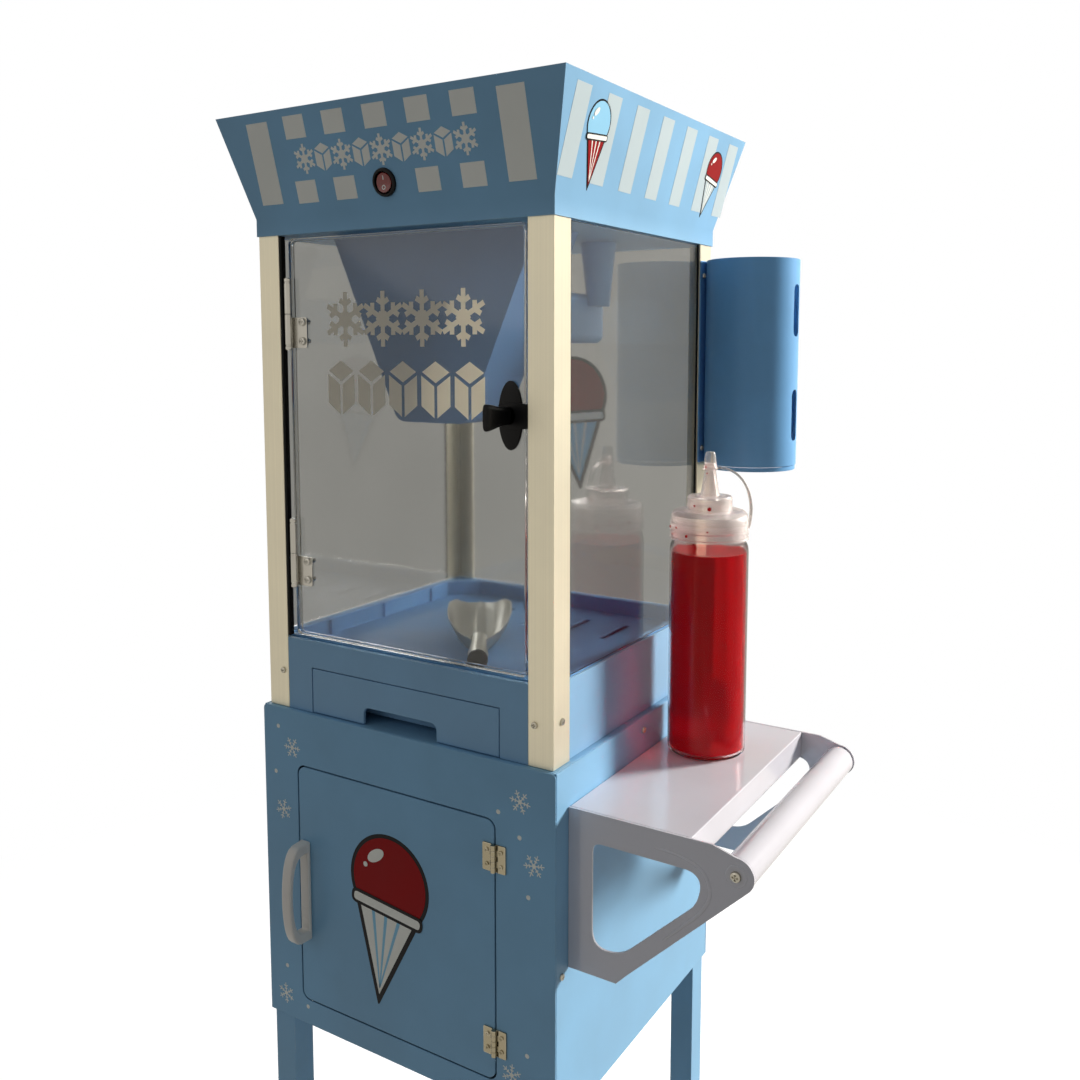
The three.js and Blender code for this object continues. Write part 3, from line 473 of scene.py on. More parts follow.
def on_right(x):
    return lambda a, b, c: (x + c, a, b)


# The canopy's front and right faces lean out above the crease.
CANOPY_LOW, CANOPY_HIGH, _ = span("canopy_shell")
POST_LOW, _, _ = span("post_front_right")
BAND_STEP = 23.2
SKIRT = 15
CREASE = CANOPY_LOW.z + SKIRT
LEAN = math.atan2(BAND_STEP, CANOPY_HIGH.z - CREASE)


def on_canopy_front(a, b, c):
    y = CANOPY_LOW.y + BAND_STEP - (b - CREASE) * math.tan(LEAN)
    return (a, y - c * math.cos(LEAN), b - c * math.sin(LEAN))


def on_canopy_right(a, b, c):
    x = CANOPY_HIGH.x - BAND_STEP + (b - CREASE) * math.tan(LEAN)
    return (x + c * math.cos(LEAN), a, b - c * math.sin(LEAN))


# ------------------------------------------------------------------ camera
# It stands to the right of the front and looks slightly down.
CAMERA_AT = (572.0, -686.1, 333.6)
CAMERA_TURN, CAMERA_TILT = math.radians(31.85), math.radians(-5.83)
LENS_MM, SENSOR_MM, SHIFT_UP = 35.391, 36, -0.0787
camera = bpy.data.objects.new("camera", bpy.data.cameras.new("camera"))
bpy.context.scene.collection.objects.link(camera)
camera.location = row(CAMERA_AT)
sight = Vector((-math.sin(CAMERA_TURN) * math.cos(CAMERA_TILT),
                math.cos(CAMERA_TURN) * math.cos(CAMERA_TILT), math.sin(CAMERA_TILT)))
camera.rotation_mode = "QUATERNION"
camera.rotation_quaternion = sight.to_track_quat("-Z", "Y")
camera.data.lens, camera.data.sensor_width = LENS_MM, SENSOR_MM
camera.data.shift_y = SHIFT_UP
bpy.context.scene.camera = camera

# ------------------------------------------------------------------ CAD nodes that stay
REPLACED = {"case_hinge_upper_frame_half", "case_hinge_upper_door_half", "case_hinge_lower_frame_half",
            "case_hinge_lower_door_half", "latch_plate", "latch_turn", "door_pull", "shelf_bracket_front",
            "shelf_bracket_rear", "handle_bar", "cone_tube", "cone_ring", "scoop", "bottle", "syrup",
            "bottle_cap", "tip_cap", "switch_bezel", "switch_rocker", "wheel_front", "wheel_rear",
            "cabinet_hinge_upper_frame_leaf", "cabinet_hinge_upper_door_leaf",
            "cabinet_hinge_lower_frame_leaf", "cabinet_hinge_lower_door_leaf"}
EDGES = {"side_shelf": 1.2, "case_door": 1.0, "shaver_housing": 2.0, "motor_cover": 2.0, "ice_hopper": 1.2,
         "cutter_disc": 0.3, "ice_tub": 0.9, "drip_drawer": 1.0, "ice_lid": 0.8, "canopy_shell": 0.4}
BASE_BLUE = finish("base_blue", (136, 178, 212), 0.36, grain=900, worn=(176, 198, 212))
SHADED_PANE = clear("rear_glass", (243, 244, 244), 0.03, shade=0.15, relief=0.01, slot="clear_pane", IOR=1.5,
                    Transmission_Weight=1.0, Specular_IOR_Level=0.22)
# The shaver housing's blue is darkened as painted shade: its flank gets the tone it shows in shadow.
SHADED_HOUSING_BLUE = finish("housing_blue_painted_shade", (84, 124, 170), 0.45, grain=900, worn=(120, 158, 196),
                      slot="blue_plastic", Specular_IOR_Level=0.12)
# The ice tub's blue is darkened as painted shade: its floor gets the tone it shows in shadow.
SHADED_TUB_BLUE = finish("tub_blue_painted_shade", (92, 140, 188), 0.42, grain=900, worn=(136, 176, 208),
                  slot="blue_plastic", Specular_IOR_Level=0.15)
# TONES gives the shaver housing and the ice tub darker blues that are painted shade.
TONES = {"shaver_housing": SHADED_HOUSING_BLUE, "ice_tub": SHADED_TUB_BLUE, "base_housing": BASE_BLUE,
         "drip_drawer": BASE_BLUE, "pane_back": SHADED_PANE}
for cad_node in frame["nodes"]:
    if cad_node not in REPLACED:
        dress(cad_node, EDGES.get(cad_node, 0.5), TONES.get(cad_node))

# ------------------------------------------------------------------ case door: hinges and latch
HINGE_X, HINGE_Y, HINGE_R = -124, 8.2, 3.4
LEAF_Y, LEAF_THICK = 12.6, 1.4
LEAF_SCREW_X, LEAF_SCREWS_DOWN = -110, (7, 24)
NUT_Y = 15.7
for level, split in (("upper", 362.4), ("lower", 146)):
    for half, way, body in (("frame", 1, "frame"), ("door", -1, "case_door")):
        barrel = turned([(0, 0), (3.1, 0), (HINGE_R, 0.3), (HINGE_R, 27), (3.0, 27.3), (3.0, 28.3),
                         (HINGE_R, 28.6), (HINGE_R, 31), (2.6, 31.9), (0, 31.9)],
                        (HINGE_X, HINGE_Y, split + 0.15 * way), (0, 0, way))
        far = HINGE_X + 19 if half == "door" else -148
        leaf = slab([panel(min(HINGE_X, far), max(HINGE_X, far),
                           *sorted((split + 3 * way, split + 30 * way)), 2)], on_front(LEAF_Y), 0, LEAF_THICK)
        parts = [barrel, leaf]
        if half == "door":
            parts += [screw((LEAF_SCREW_X, LEAF_Y - LEAF_THICK, split - drop), (0, -1, 0), 3.6)
                      for drop in LEAF_SCREWS_DOWN]
            parts += [turned([(3.4, 0), (3.4, 1.8), (2.2, 2.6), (2.2, 5), (0, 5.4)],
                             (LEAF_SCREW_X, NUT_Y, split - drop), (0, 1, 0), 6) for drop in LEAF_SCREWS_DOWN]
        add(f"case_hinge_{level}_{half}", fuse(*parts), CHROME, body,
            [f"case_hinge_{level}_{half}_half"], edge=0.25)

PLATE_LOW, PLATE_HIGH, PLATE_MID = span("latch_plate")
plate_profile = [(0, -0.2), (0.9, -0.2), (1, 0.3), (1, 1.6), (0.96, 2.3), (0.7, 3), (0.4, 3.3), (0, 3.4)]
PLATE_HALF_WIDTH, PLATE_HALF_HEIGHT = 11.5, 27.5
plate_rings = [[(PLATE_MID.x + a * PLATE_HALF_WIDTH, PLATE_HIGH.y - height,
                 PLATE_MID.z + b * PLATE_HALF_HEIGHT) for a, b in circle(max(share, TINY), 48)]
               for share, height in plate_profile]
add("latch_plate_oval", skin(plate_rings), LOOKS["black_plastic"], "case_door", ["latch_plate"])

_, TURN_HIGH, _ = span("latch_turn")
TONGUE_Y = 8.9
PADDLE_GAP = 0.4
SOFT_CORNER = 0.6
paddle_rings = []
for reach, wide, tall in ((0, 3.4, 7.4), (4, 2.9, 7.0), (10, 2.6, 7.2), (18, 2.7, 8.4), (25, 3.0, 9.7),
                          (30, 3.3, 10.5), (32, 3.0, 10.4), (33, 2.2, 9.6), (33.3, 0.4, 7)):
    y = PLATE_LOW.y - PADDLE_GAP - reach
    paddle_rings.append([(PLATE_MID.x + wide * math.copysign(abs(a) ** SOFT_CORNER, a), y,
                          PLATE_MID.z + tall * math.copysign(abs(b) ** SOFT_CORNER, b))
                         for a, b in circle(1, 40)])
tongue = slab([panel(PLATE_MID.x - 9, TURN_HIGH.x, PLATE_MID.z - 10, PLATE_MID.z + 10, 4)],
              on_front(TONGUE_Y), 0, 2)
boss = turned([(0, 0), (7.6, 0), (8.2, 0.5), (8.2, 1.2), (7.2, 2), (0, 2)],
              (PLATE_MID.x, TONGUE_Y, PLATE_MID.z), (0, -1, 0))
add("latch_paddle", fuse(skin(paddle_rings), tongue, boss), LOOKS["black_plastic"], "case_latch",
    ["latch_turn"], edge=0.5)

# ------------------------------------------------------------------ dark strips and screws on the case
POST_INNER = 131.2
PANE_STRIP_X = (152.4, 153.9)
POST_FRONT_X, POST_SIDE_X, CABINET_SIDE_X = 137.7, 155.1, 160
POST_SCREW_R = 2.9
CASE_LOW, CASE_HIGH = span("base_housing")[1].z + 2, CANOPY_LOW.z - 0.5
# Black strips run down the door's two edges against the posts, where a dark gap shows between post and door.
# Further strips sit at the side panes' front and back edges.
dark_strips = [block((-POST_INNER, 5.6, CASE_LOW), (-POST_INNER + 2.6, 10.6, CASE_HIGH)),
         block((POST_INNER - 2, 10.4, CASE_LOW), (POST_INNER, 14.5, CASE_HIGH))]
for side in (-1, 1):
    for y0, y1 in ((31, 33.2), (275.8, 278)):
        inner, outer = sorted(side * x for x in PANE_STRIP_X)
        dark_strips.append(block((inner, y0, CASE_LOW), (outer, y1, CASE_HIGH)))
add("case_dark_strips", fuse(*dark_strips), STRIP_BLACK, edge=0.4)

post_screws = [screw((side * POST_FRONT_X, POST_LOW.y, 34.8), (0, -1, 0), POST_SCREW_R) for side in (-1, 1)]
post_screws += [screw((side * POST_SIDE_X, y, 37), (side, 0, 0), POST_SCREW_R)
                for side in (-1, 1) for y in (18, 291)]
post_screws += [screw((side * CABINET_SIDE_X, y, z), (side, 0, 0), POST_SCREW_R)
                for side in (-1, 1) for y, z in ((155, -12), (10, -172))]
add("frame_screws", fuse(*post_screws), SCREW)

TUB_LOW, TUB_HIGH, _ = span("ice_tub")
TUB_WALL = 8.5
clips = []
for side in (-1, 1):
    inner, outer = sorted((side * (TUB_HIGH.x - TUB_WALL - 2.5), side * (TUB_HIGH.x - TUB_WALL + 1.5)))
    clips += [block((inner, y - 3, TUB_LOW.z + 2), (outer, y + 3, TUB_HIGH.z - 0.5)) for y in (75, 155, 235)]
# The clips take the tub's darker blue, which is painted shade.
add("tub_clips", fuse(*clips), SHADED_TUB_BLUE, edge=0.6)

# ------------------------------------------------------------------ switch
SWITCH_AT = (-2, 467)
OUTWARD = (0, -math.cos(LEAN), -math.sin(LEAN))
switch_base = Vector(on_canopy_front(*SWITCH_AT, 0))
add("switch_ring", turned([(9, -6), (9, 2.4), (9.4, 2.9), (10.6, 2.8), (11.5, 1.9), (11.75, 0.3), (10, 0.3),
                           (10, -6)], switch_base, OUTWARD, 48, loop=True),
    LOOKS["black_plastic"], replaces=["switch_bezel"])


def on_rocker(a, b, c):
    return on_canopy_front(SWITCH_AT[0] + a, SWITCH_AT[1] + b, 1.9 - 0.14 * b + 0.012 * b * b + c)


rocker_profile = [(5.2, -4.9), (6.6, -3.5), (7.6, -1.4), (7.7, -0.5), (7.3, -0.05), (5, 0), (2.5, 0),
                  (1e-4, 0)]
rocker_rings = [[on_rocker(a, b, drop) for a, b in circle(radius, 40)] for radius, drop in rocker_profile]
add("switch_button", skin(rocker_rings), LOOKS["red_plastic"], "power_switch", ["switch_rocker"])
MARK_LOW, MARK_HIGH, RING_DROP = -0.02, 0.12, 3.6
stroke = slab([panel(-0.5, 0.5, 2.2, 5.4)], on_rocker, MARK_LOW, MARK_HIGH)
ring = slab([[(a, b - RING_DROP) for a, b in circle(radius, 28)] for radius in (1.9, 1.1)],
            on_rocker, MARK_LOW, MARK_HIGH)
add("switch_marks", fuse(stroke, ring), INKS["white"], "power_switch")

# ------------------------------------------------------------------ cabinet: pull and hinges
PULL_LOW, PULL_HIGH, PULL_MID = span("door_pull")


def pull_side(half, reach, bow):
    """Half an arch in (y, z): from the door out to the bow's reach."""
    steps = 18
    points = []
    for i in range(steps + 1):
        t = math.pi * i / steps - math.pi / 2
        points.append((PULL_HIGH.y - reach * abs(math.cos(t)) ** bow, PULL_MID.z + half * math.sin(t)))
    return points


ARCH, PULL_BASE = 0.42, 3.8
grip_out = pull_side(47.5, 27.8, ARCH)
grip_in = [(min(y, PULL_HIGH.y - PULL_BASE), z) for y, z in pull_side(37.5, 22.8, ARCH)]
add("door_grip", slab([grip_out, grip_in], on_right(PULL_LOW.x), 0.2, 10.8), GRIP,
    "cabinet_door", ["door_pull"], edge=1.7, segments=4)

BUTT_R, BUTT_LEAF, BUTT_THICK, BUTT_Y = 2.3, 11.3, 1.2, -0.3
for level in ("upper", "lower"):
    frame_low, frame_high, _ = span(f"cabinet_hinge_{level}_frame_leaf")
    axis_x, axis_y = frame_high.x - BUTT_LEAF, frame_low.y + BUTT_R
    height = frame_high.z - frame_low.z
    for half, way, body, knuckles in (("frame", 1, "frame", (0, 2, 4)),
                                      ("door", -1, "cabinet_door", (1, 3))):
        sides = sorted((axis_x + way * (BUTT_R + 0.2), axis_x + way * BUTT_LEAF))
        parts = [slab([panel(*sides, frame_low.z, frame_high.z, 1)], on_front(BUTT_Y), 0, BUTT_THICK)]
        for k in knuckles:
            low = frame_low.z + height * k / 5 + 0.1
            high = low + height / 5 - 0.2
            parts.append(turned([(0, 0), (2.1, 0), (BUTT_R, 0.2), (BUTT_R, high - low - 0.2),
                                 (2.1, high - low), (0, high - low)], (axis_x, axis_y, low), steps=24))
            parts.append(slab([panel(*sorted((axis_x, axis_x + way * 4)), low, high)],
                              on_front(BUTT_Y), 0, BUTT_THICK))
        parts += [screw((axis_x + way * 7, BUTT_Y - BUTT_THICK, frame_low.z + height * share),
                        (0, -1, 0), 1.9) for share in (0.24, 0.76)]
        add(f"butt_hinge_{level}_{half}", fuse(*parts), LOOKS["nickel"], body,
            [f"cabinet_hinge_{level}_{half}_leaf"], edge=0.15)

# ------------------------------------------------------------------ shelf brackets and push bar
BAR_LOW, BAR_HIGH, BAR_MID = span("handle_bar")
BAR_NOSE, NOSE_SWEEP, NOSE_STEPS = 14, 139, 16
BRACKET_INNER, BRACKET_TOP, BRACKET_FOOT = 160.3, -33, -168.5


def bracket_outline():
    """From the cabinet along the top, round the bar and down the slant to the foot."""
    turns = [math.radians(90 - NOSE_SWEEP * k / NOSE_STEPS) for k in range(NOSE_STEPS + 1)]
    nose = [(BAR_MID.x + BAR_NOSE * math.cos(t), BAR_MID.z + BAR_NOSE * math.sin(t)) for t in turns]
    slant = rounded([(213, -159, 0), (204, BRACKET_FOOT, 0)])
    foot = [(192, BRACKET_FOOT), (BRACKET_INNER, BRACKET_FOOT)]
    return [(BRACKET_INNER, BRACKET_TOP), (283, BRACKET_TOP)] + nose + slant + foot


WINDOW = rounded([(182, -57, 9), (182, -146, 17), (209, -142.5, 10), (271, -84, 8), (278, -58, 18)], 8)
RIB = spline([(236, 0, -47.5), (258, 0, -48.5), (276, 0, -56), (282, 0, -72), (275, 0, -88), (260, 0, -104),
              (244, 0, -120)])
for place, way in (("front", -1), ("rear", 1)):
    low, high, _ = span(f"shelf_bracket_{place}")
    face = low.y if way < 0 else high.y
    plate = slab([bracket_outline(), WINDOW], on_front(high.y), 0, high.y - low.y)
    flange = slab([panel(*sorted((face - way * 0.4, face - way * 17)), -166, -60, 3)],
                  on_right(BRACKET_INNER + 0.1), 0, 1.6)
    section = [(a * 1.6, b * 1.4) for a, b in circle(1, 12)]
    taper = [0.2 + 0.8 * math.sin(math.pi * i / (len(RIB) - 1)) ** 0.4 for i in range(len(RIB))]
    rib = swept([(p.x, face, p.z) for p in RIB], section, up=(0, way, 0), sizes=taper)
    boss = turned([(0, -0.5), (8.6, -0.5), (8.6, 0.2), (8, 0.7), (6.4, 0.8), (5.4, 0.3), (0, 0.3)],
                  (BAR_MID.x, face, BAR_MID.z), (0, way, 0))
    add(f"bracket_{place}", fuse(plate, flange, rib, boss), LOOKS["white_gloss"],
        replaces=[f"shelf_bracket_{place}"], edge=0.5)
    add(f"bar_screw_{place}", screw((BAR_MID.x, face + way * 0.3, BAR_MID.z), (0, way, 0), 4.2), SCREW)

length = BAR_HIGH.y - BAR_LOW.y
bar_profile = [(0, 0), (9.5, 0), (12.2, 0.7), (13.2, 2.6), (13.2, length - 2.6), (12.2, length - 0.7),
               (9.5, length), (0, length)]
add("push_bar", turned(bar_profile, (BAR_MID.x, BAR_LOW.y, BAR_MID.z), (0, 1, 0), 64), LOOKS["white_gloss"],
    replaces=["handle_bar"])

# ------------------------------------------------------------------ cone tube
TUBE_LOW, TUBE_HIGH, _ = span("cone_tube")
TUBE_R, TUBE_WALL, SLOT_HALF = 44.2, 1.3, 6.6
TUBE_AT = (TUBE_HIGH.x - TUBE_R, (TUBE_LOW.y + TUBE_HIGH.y) / 2)
tube_height = TUBE_HIGH.z - TUBE_LOW.z
wall = [(TUBE_R - TUBE_WALL, 0.4), (TUBE_R - 0.9, 0), (TUBE_R - 0.3, 0), (TUBE_R, 0.4),
        (TUBE_R, tube_height - 0.4), (TUBE_R - 0.3, tube_height), (TUBE_R - 0.9, tube_height),
        (TUBE_R - TUBE_WALL, tube_height - 0.4)]
tube = turned(wall, (*TUBE_AT, TUBE_LOW.z), steps=96, loop=True)
slots = [slab([panel(TUBE_AT[1] - SLOT_HALF, TUBE_AT[1] + SLOT_HALF, z0, z1, 6.5)],
              on_right(TUBE_AT[0]), 30, 50) for z0, z1 in ((343, 392), (244, 292.7))]
add("cone_sleeve", carve(tube, *slots), LOOKS["blue_tube"], replaces=["cone_tube"], edge=0.25)
back_plate = slab([panel(TUBE_AT[1] - 24, TUBE_AT[1] + 24, TUBE_LOW.z, TUBE_HIGH.z, 3)],
                  on_right(TUBE_LOW.x), 0, TUBE_WALL)
rivets = [screw((TUBE_LOW.x + TUBE_WALL, TUBE_AT[1] + side * 17, z), (1, 0, 0), 2.6)
          for side in (-1, 1) for z in (TUBE_LOW.z + 14, TUBE_HIGH.z - 14)]
add("cone_sleeve_plate", back_plate, LOOKS["blue_tube"], edge=0.3)
add("cone_sleeve_rivets", fuse(*rivets), SCREW)
RING_LOW, _, _ = span("cone_ring")
add("cone_stop", turned([(36, 0), (43.2, 0), (43.4, 0.4), (43.4, 3.8), (43, 4), (36.3, 2.9)],
                        (*TUBE_AT, RING_LOW.z), steps=96, loop=True), LOOKS["blue_tube"],
    replaces=["cone_ring"])

# ------------------------------------------------------------------ syrup bottle
BOTTLE_LOW, _, BOTTLE_MID = span("bottle")
BOTTLE_AT = (BOTTLE_MID.x, BOTTLE_MID.y, BOTTLE_LOW.z)
R = 35.2
add("squeeze_bottle", turned([(0, 1.4), (22, 1.2), (28, 0.4), (31, 0), (33.6, 0.8), (34.9, 2.6), (R, 5),
                              (R, 184), (34.6, 189), (33.2, 192), (32.7, 193), (32.7, 206), (31.2, 206),
                              (31.2, 192), (33.8, 186), (33.9, 5), (32, 2.6), (24, 2.4), (0, 2.6)],
                             BOTTLE_AT, steps=96), LOOKS["bottle_plastic"], "syrup_bottle", ["bottle"])
add("red_syrup", turned([(0, 2.9), (24, 2.7), (31.6, 3), (33.5, 5.4), (33.5, 183.4), (32.6, 184),
                         (0, 183.8)], BOTTLE_AT, steps=96), LOOKS["syrup_red"], "syrup_bottle", ["syrup"])
cap = [(33.1, 195.4), (34.9, 195.4), (35.1, 196), (35.1, 197), (34.5, 197.6), (34.5, 199), (35, 200),
       (35, 202.4), (34.3, 203.4), (34.3, 206.4), (34.8, 207.4), (34.8, 210), (34.1, 211), (34, 214),
       (33.6, 217.6),
       (31.6, 220), (28, 221.2), (20.6, 221.6), (20, 222.4), (20, 232), (19, 233.6), (9.2, 234.2),
       (8.2, 235.4), (5, 256.4), (3.6, 262), (1.8, 262), (3.2, 255), (6.8, 232), (18, 231.5), (18, 220),
       (31.4, 216.5), (33.1, 213)]
add("squeeze_cap", turned(cap, BOTTLE_AT, steps=96, loop=True), MILKY, "syrup_bottle",
    ["bottle_cap"])
tip = turned([(5.3, 257.2), (6.6, 257), (6.7, 258.4), (5.9, 260), (4.4, 271.6), (3.6, 273), (0, 273.3),
              (0, 263), (3.6, 263), (5, 258.5)], BOTTLE_AT, steps=48)
arch_turn = Matrix.Rotation(0.6, 3, "Z")
arch_points = [(5.6, 0, 258.4), (15, 0, 257.6), (26, 0, 251), (34, 0, 239), (37.4, 0, 224), (36.6, 0, 210),
               (35, 0, 204)]
arch = [Vector(BOTTLE_AT) + arch_turn @ Vector(p) for p in spline(arch_points)]
band = rounded([(-2.4, -1, 0.6), (2.4, -1, 0.6), (2.4, 1, 0.6), (-2.4, 1, 0.6)], 3)
strap = swept(arch, [(a, b) for a, b in band], up=arch_turn @ Vector((0, 1, 0)).cross(Vector((0, 0, 1))))
add("tip_cover", fuse(tip, strap), MILKY, "syrup_bottle", ["tip_cap"])
drops = []
for angle, out, height, size in ((205, 34.7, 205, 1.5), (222, 34.4, 200, 1.1), (236, 34.7, 207, 0.9),
                                 (258, 34.9, 201, 1.3), (290, 34.6, 206, 0.8), (250, 19.6, 226, 1.1),
                                 (292, 20, 224, 1.8), (240, 4.6, 259.5, 0.9), (262, 5.4, 254, 0.8)):
    a = math.radians(angle)
    outward = Vector((math.cos(a), math.sin(a), 0))
    bead = [(0, -0.2), (size, -0.2), (size * 0.9, size * 0.3), (size * 0.5, size * 0.55), (0, size * 0.62)]
    drops.append(turned(bead, Vector(BOTTLE_AT) + outward * out + Vector((0, 0, height)), outward, 16))
add("syrup_drops", fuse(*drops), LOOKS["syrup_red"], "syrup_bottle")

# ------------------------------------------------------------------ scoop
SCOOP_AT = Vector((57, 42, span("scoop")[0].z))
SCOOP_TURN = Matrix.Rotation(math.atan2(0.56, 0.83), 3, "Z")
SCOOP_HALF, BOWL_START, BOWL_LENGTH, BOWL_SHEET, HANDLE_UP = 31, 58, 98, 1.5, 11


def scoop_point(a, b, c):
    return SCOOP_AT + SCOOP_TURN @ Vector((a, b, c))


def bowl_section(t, inset):
    """Across the bowl at t of its length: a floor that rises to the lip, walls and a crease."""
    opening = math.sqrt(max(0.06, 1 - (1 - min(1, t / 0.5)) ** 2))
    half = SCOOP_HALF * opening * (1 - 0.22 * max(0, (t - 0.7) / 0.3) ** 2) - inset
    floor = 1 + 22 * t + inset
    depth = 14 + 6 * math.sin(math.pi * t) - 8 * t * t - inset
    points = []
    for k in range(33):
        a = -1 + k / 16
        crease = 1.1 * math.exp(-(a / 0.05) ** 2)
        bulge = 4 * (1 - a ** 4) if t > 0.97 else 0
        points.append((half * math.copysign(abs(a) ** 0.75, a), BOWL_START + BOWL_LENGTH * t + bulge,
                       floor + depth * abs(a) ** 3.4 + crease))
    return points


bowl_rings = []
for k in range(19):
    t = (k / 18) ** 1.3
    bowl_rings.append([scoop_point(*p) for p in bowl_section(t, 0)]
                      + [scoop_point(*p) for p in reversed(bowl_section(t, BOWL_SHEET))])
handle = turned([(0, 0), (8.6, 0), (9, 1), (9, 20), (8, 36), (7.4, 52), (8.4, 62), (0, 63)],
                scoop_point(0, 6, HANDLE_UP), SCOOP_TURN @ Vector((0, 1, 0)), 40)
add("ice_scoop_bowl", fuse(skin(bowl_rings), handle), LOOKS["scoop_aluminium"], "ice_scoop", ["scoop"],
    edge=0.3)
knob = turned([(0, 0.4), (3, 0.6), (6.4, 2), (8.4, 4.2), (9.1, 6.6), (9.1, 9), (0, 9)],
              scoop_point(0, -0.2, HANDLE_UP), SCOOP_TURN @ Vector((0, 1, 0)), 40)
add("ice_scoop_cap", knob, LOOKS["black_plastic"], "ice_scoop")

# ------------------------------------------------------------------ wheels
SPOKES = 10
for place in ("front", "rear"):
    low, high, mid = span(f"wheel_{place}")
    radius, half = (high.x - low.x) / 2, (high.y - low.y) / 2
    tread = [(radius - 14, 2 - half), (radius - 4, -half), (radius - 1, 1.5 - half), (radius, 4 - half),
             (radius, -1.2), (radius - 1.2, -0.6), (radius - 1.2, 0.6), (radius, 1.2), (radius, half - 4),
             (radius - 1, half - 1.5), (radius - 4, half), (radius - 14, half - 2)]
    hub = [(5.6, -half), (15, -half), (17, 2 - half), (17, half - 2), (15, half), (5.6, half)]
    parts = [turned(tread, mid, (0, 1, 0), 96, loop=True), turned(hub, mid, (0, 1, 0), 48, loop=True)]
    web = turned([(16, -3), (radius - 13, -3), (radius - 13, 3), (16, 3)], mid, (0, 1, 0), 96, loop=True)
    parts.append(web)
    for k in range(SPOKES):
        spoke = block((15, -6.5, -1.6), (radius - 12, 6.5, 1.6))
        turn_about(spoke, (0, 0, 0), (0, 1, 0), 360 / SPOKES * k)
        bmesh.ops.translate(spoke, verts=spoke.verts[:], vec=mid)
        parts.append(spoke)
    add(f"cart_wheel_{place}", fuse(*parts), LOOKS["wheel_plastic"], f"{place}_wheel", [f"wheel_{place}"],
        edge=0.5)

# ------------------------------------------------------------------ printed film
def snowflake(radius, stroke=0.09, core=0.2, barbs=((0.36, 0.15), (0.62, 0.24))):
    """A six-armed flake as one outline: barbs holds (start, length) along each arm."""
    w = stroke / 2
    slope = Vector((math.cos(math.pi / 3), math.sin(math.pi / 3)))
    across = Vector((slope.y, -slope.x)) * stroke
    side = [Vector((core * math.cos(math.pi / 6), w))]
    for start, long in barbs:
        tip = Vector((start, w)) + slope * long
        side += [Vector((start, w)), tip, tip + across, Vector((start + stroke / slope.y, w))]
    side.append(Vector((1, w)))
    corner = Vector((core * math.cos(math.pi / 6), -core / 2))
    arm = [corner] + [Vector((p.x, -p.y)) for p in side] + side[::-1]
    outline = []
    for k in range(6):
        turn = Matrix.Rotation(math.pi / 3 * k, 2)
        outline += [turn @ p * radius for p in arm]
    return outline


def ice_cube(half_width, half_height):
    """Three facets of a cube seen from above a corner."""
    w, h = half_width, half_height
    left = [(-w, 0.5 * h), (-0.1 * w, 0.12 * h), (-0.1 * w, -h), (-w, -0.58 * h)]
    top = [(0, h), (0.94 * w, 0.62 * h), (0, 0.24 * h), (-0.94 * w, 0.62 * h)]
    return [left, [(-a, b) for a, b in left], top]


def shifted(outline, a, b, turn=0.0):
    c, s = math.cos(turn), math.sin(turn)
    return [(a + p[0] * c - p[1] * s, b + p[0] * s + p[1] * c) for p in outline]


FILM = 0.12


def film(name, outlines, place, ink, layer=0, body="frame"):
    """Cut vinyl: each outline is a thin plate, and a higher layer lies on a lower one."""
    shapes = [slab([outline], place, 0.02 + layer * FILM, 0.02 + (layer + 1) * FILM) for outline in outlines]
    add(name, fuse(*shapes), INKS[ink], body)


def ice_cone(name, place, body, centre, ball, drop, turn, ball_ink, cone_ink, mark_ink):
    """A ball of shaved ice on a paper cone, with a dark edge: layers of film."""
    def lay(outline):
        return shifted(outline, *centre, turn)

    edge = ball * 0.09
    wide = ball * 0.78
    rim = -ball * 0.62
    cone = [(-wide, rim), (wide, rim), (0, -drop)]
    cone_edge = rounded([(-wide - 1.7 * edge, rim + edge, edge), (wide + 1.7 * edge, rim + edge, edge),
                         (0, -drop - 3.2 * edge, edge)], 4)
    film(name + "_edge", [lay(cone_edge), lay(circle(ball + edge, 64))], place, "black", 0, body)
    film(name + "_ball", [lay(circle(ball, 64))], place, ball_ink, 1, body)
    film(name + "_paper", [lay(cone)], place, cone_ink, 2, body)
    marks = []
    for k in (-1, 0, 1):
        top = k * wide * 0.5
        marks.append(lay([(top - edge * 0.5, rim), (top + edge * 0.5, rim), (edge * 0.15, -drop * 0.94),
                          (-edge * 0.15, -drop * 0.94)]))
    film(name + "_folds", marks, place, mark_ink, 3, body)
    for part, grow, ink, layer in (("band_edge", 0.8, "black", 4), ("band", 0, "white", 5)):
        wider, taller = wide + edge * (1.6 + grow), edge * (1.1 + grow)
        hem = panel(-wider, wider, rim - taller, rim + taller, taller * 0.9)
        film(f"{name}_{part}", [lay(hem)], place, ink, layer, body)
    flat_oval = [(a, b * 0.5) for a, b in circle(ball * 0.26, 32)]
    shine = [lay(shifted(flat_oval, -ball * 0.42, ball * 0.5, 0.7)),
             lay(shifted(circle(ball * 0.06, 16), -ball * 0.68, ball * 0.2))]
    film(name + "_shine", shine, place, "white", 4, body)


CABINET = on_front(span("cabinet_front")[0].y)
FLAKES = ((-124.3, -35.7), (-137, -97.5), (-139.6, -281.3), (126.9, -29.4), (140.1, -79.7), (118.1, -266.6))
DOTS = ((-141.4, -18.1), (-145.8, -62.5), (-137.4, -252.7), (-111.6, -285.6), (105.8, -42.4), (126.4, -59.4),
        (134.7, -107.5), (133.4, -244.1))
film("cabinet_flakes", [shifted(snowflake(10), a, b, 0.3 * i) for i, (a, b) in enumerate(FLAKES)]
     + [shifted(circle(2, 16), a, b) for a, b in DOTS], CABINET, "white")
ice_cone("cabinet_cone", CABINET, "cabinet_door", (-10.5, -136), 40.5, 108, -0.12, "red", "white", "sky")
BACK_PANE = on_front(span("pane_back")[0].y)
ice_cone("pane_cone", BACK_PANE, "frame", (0, 282), 38, 92, 0.1, "red", "sky", "white")

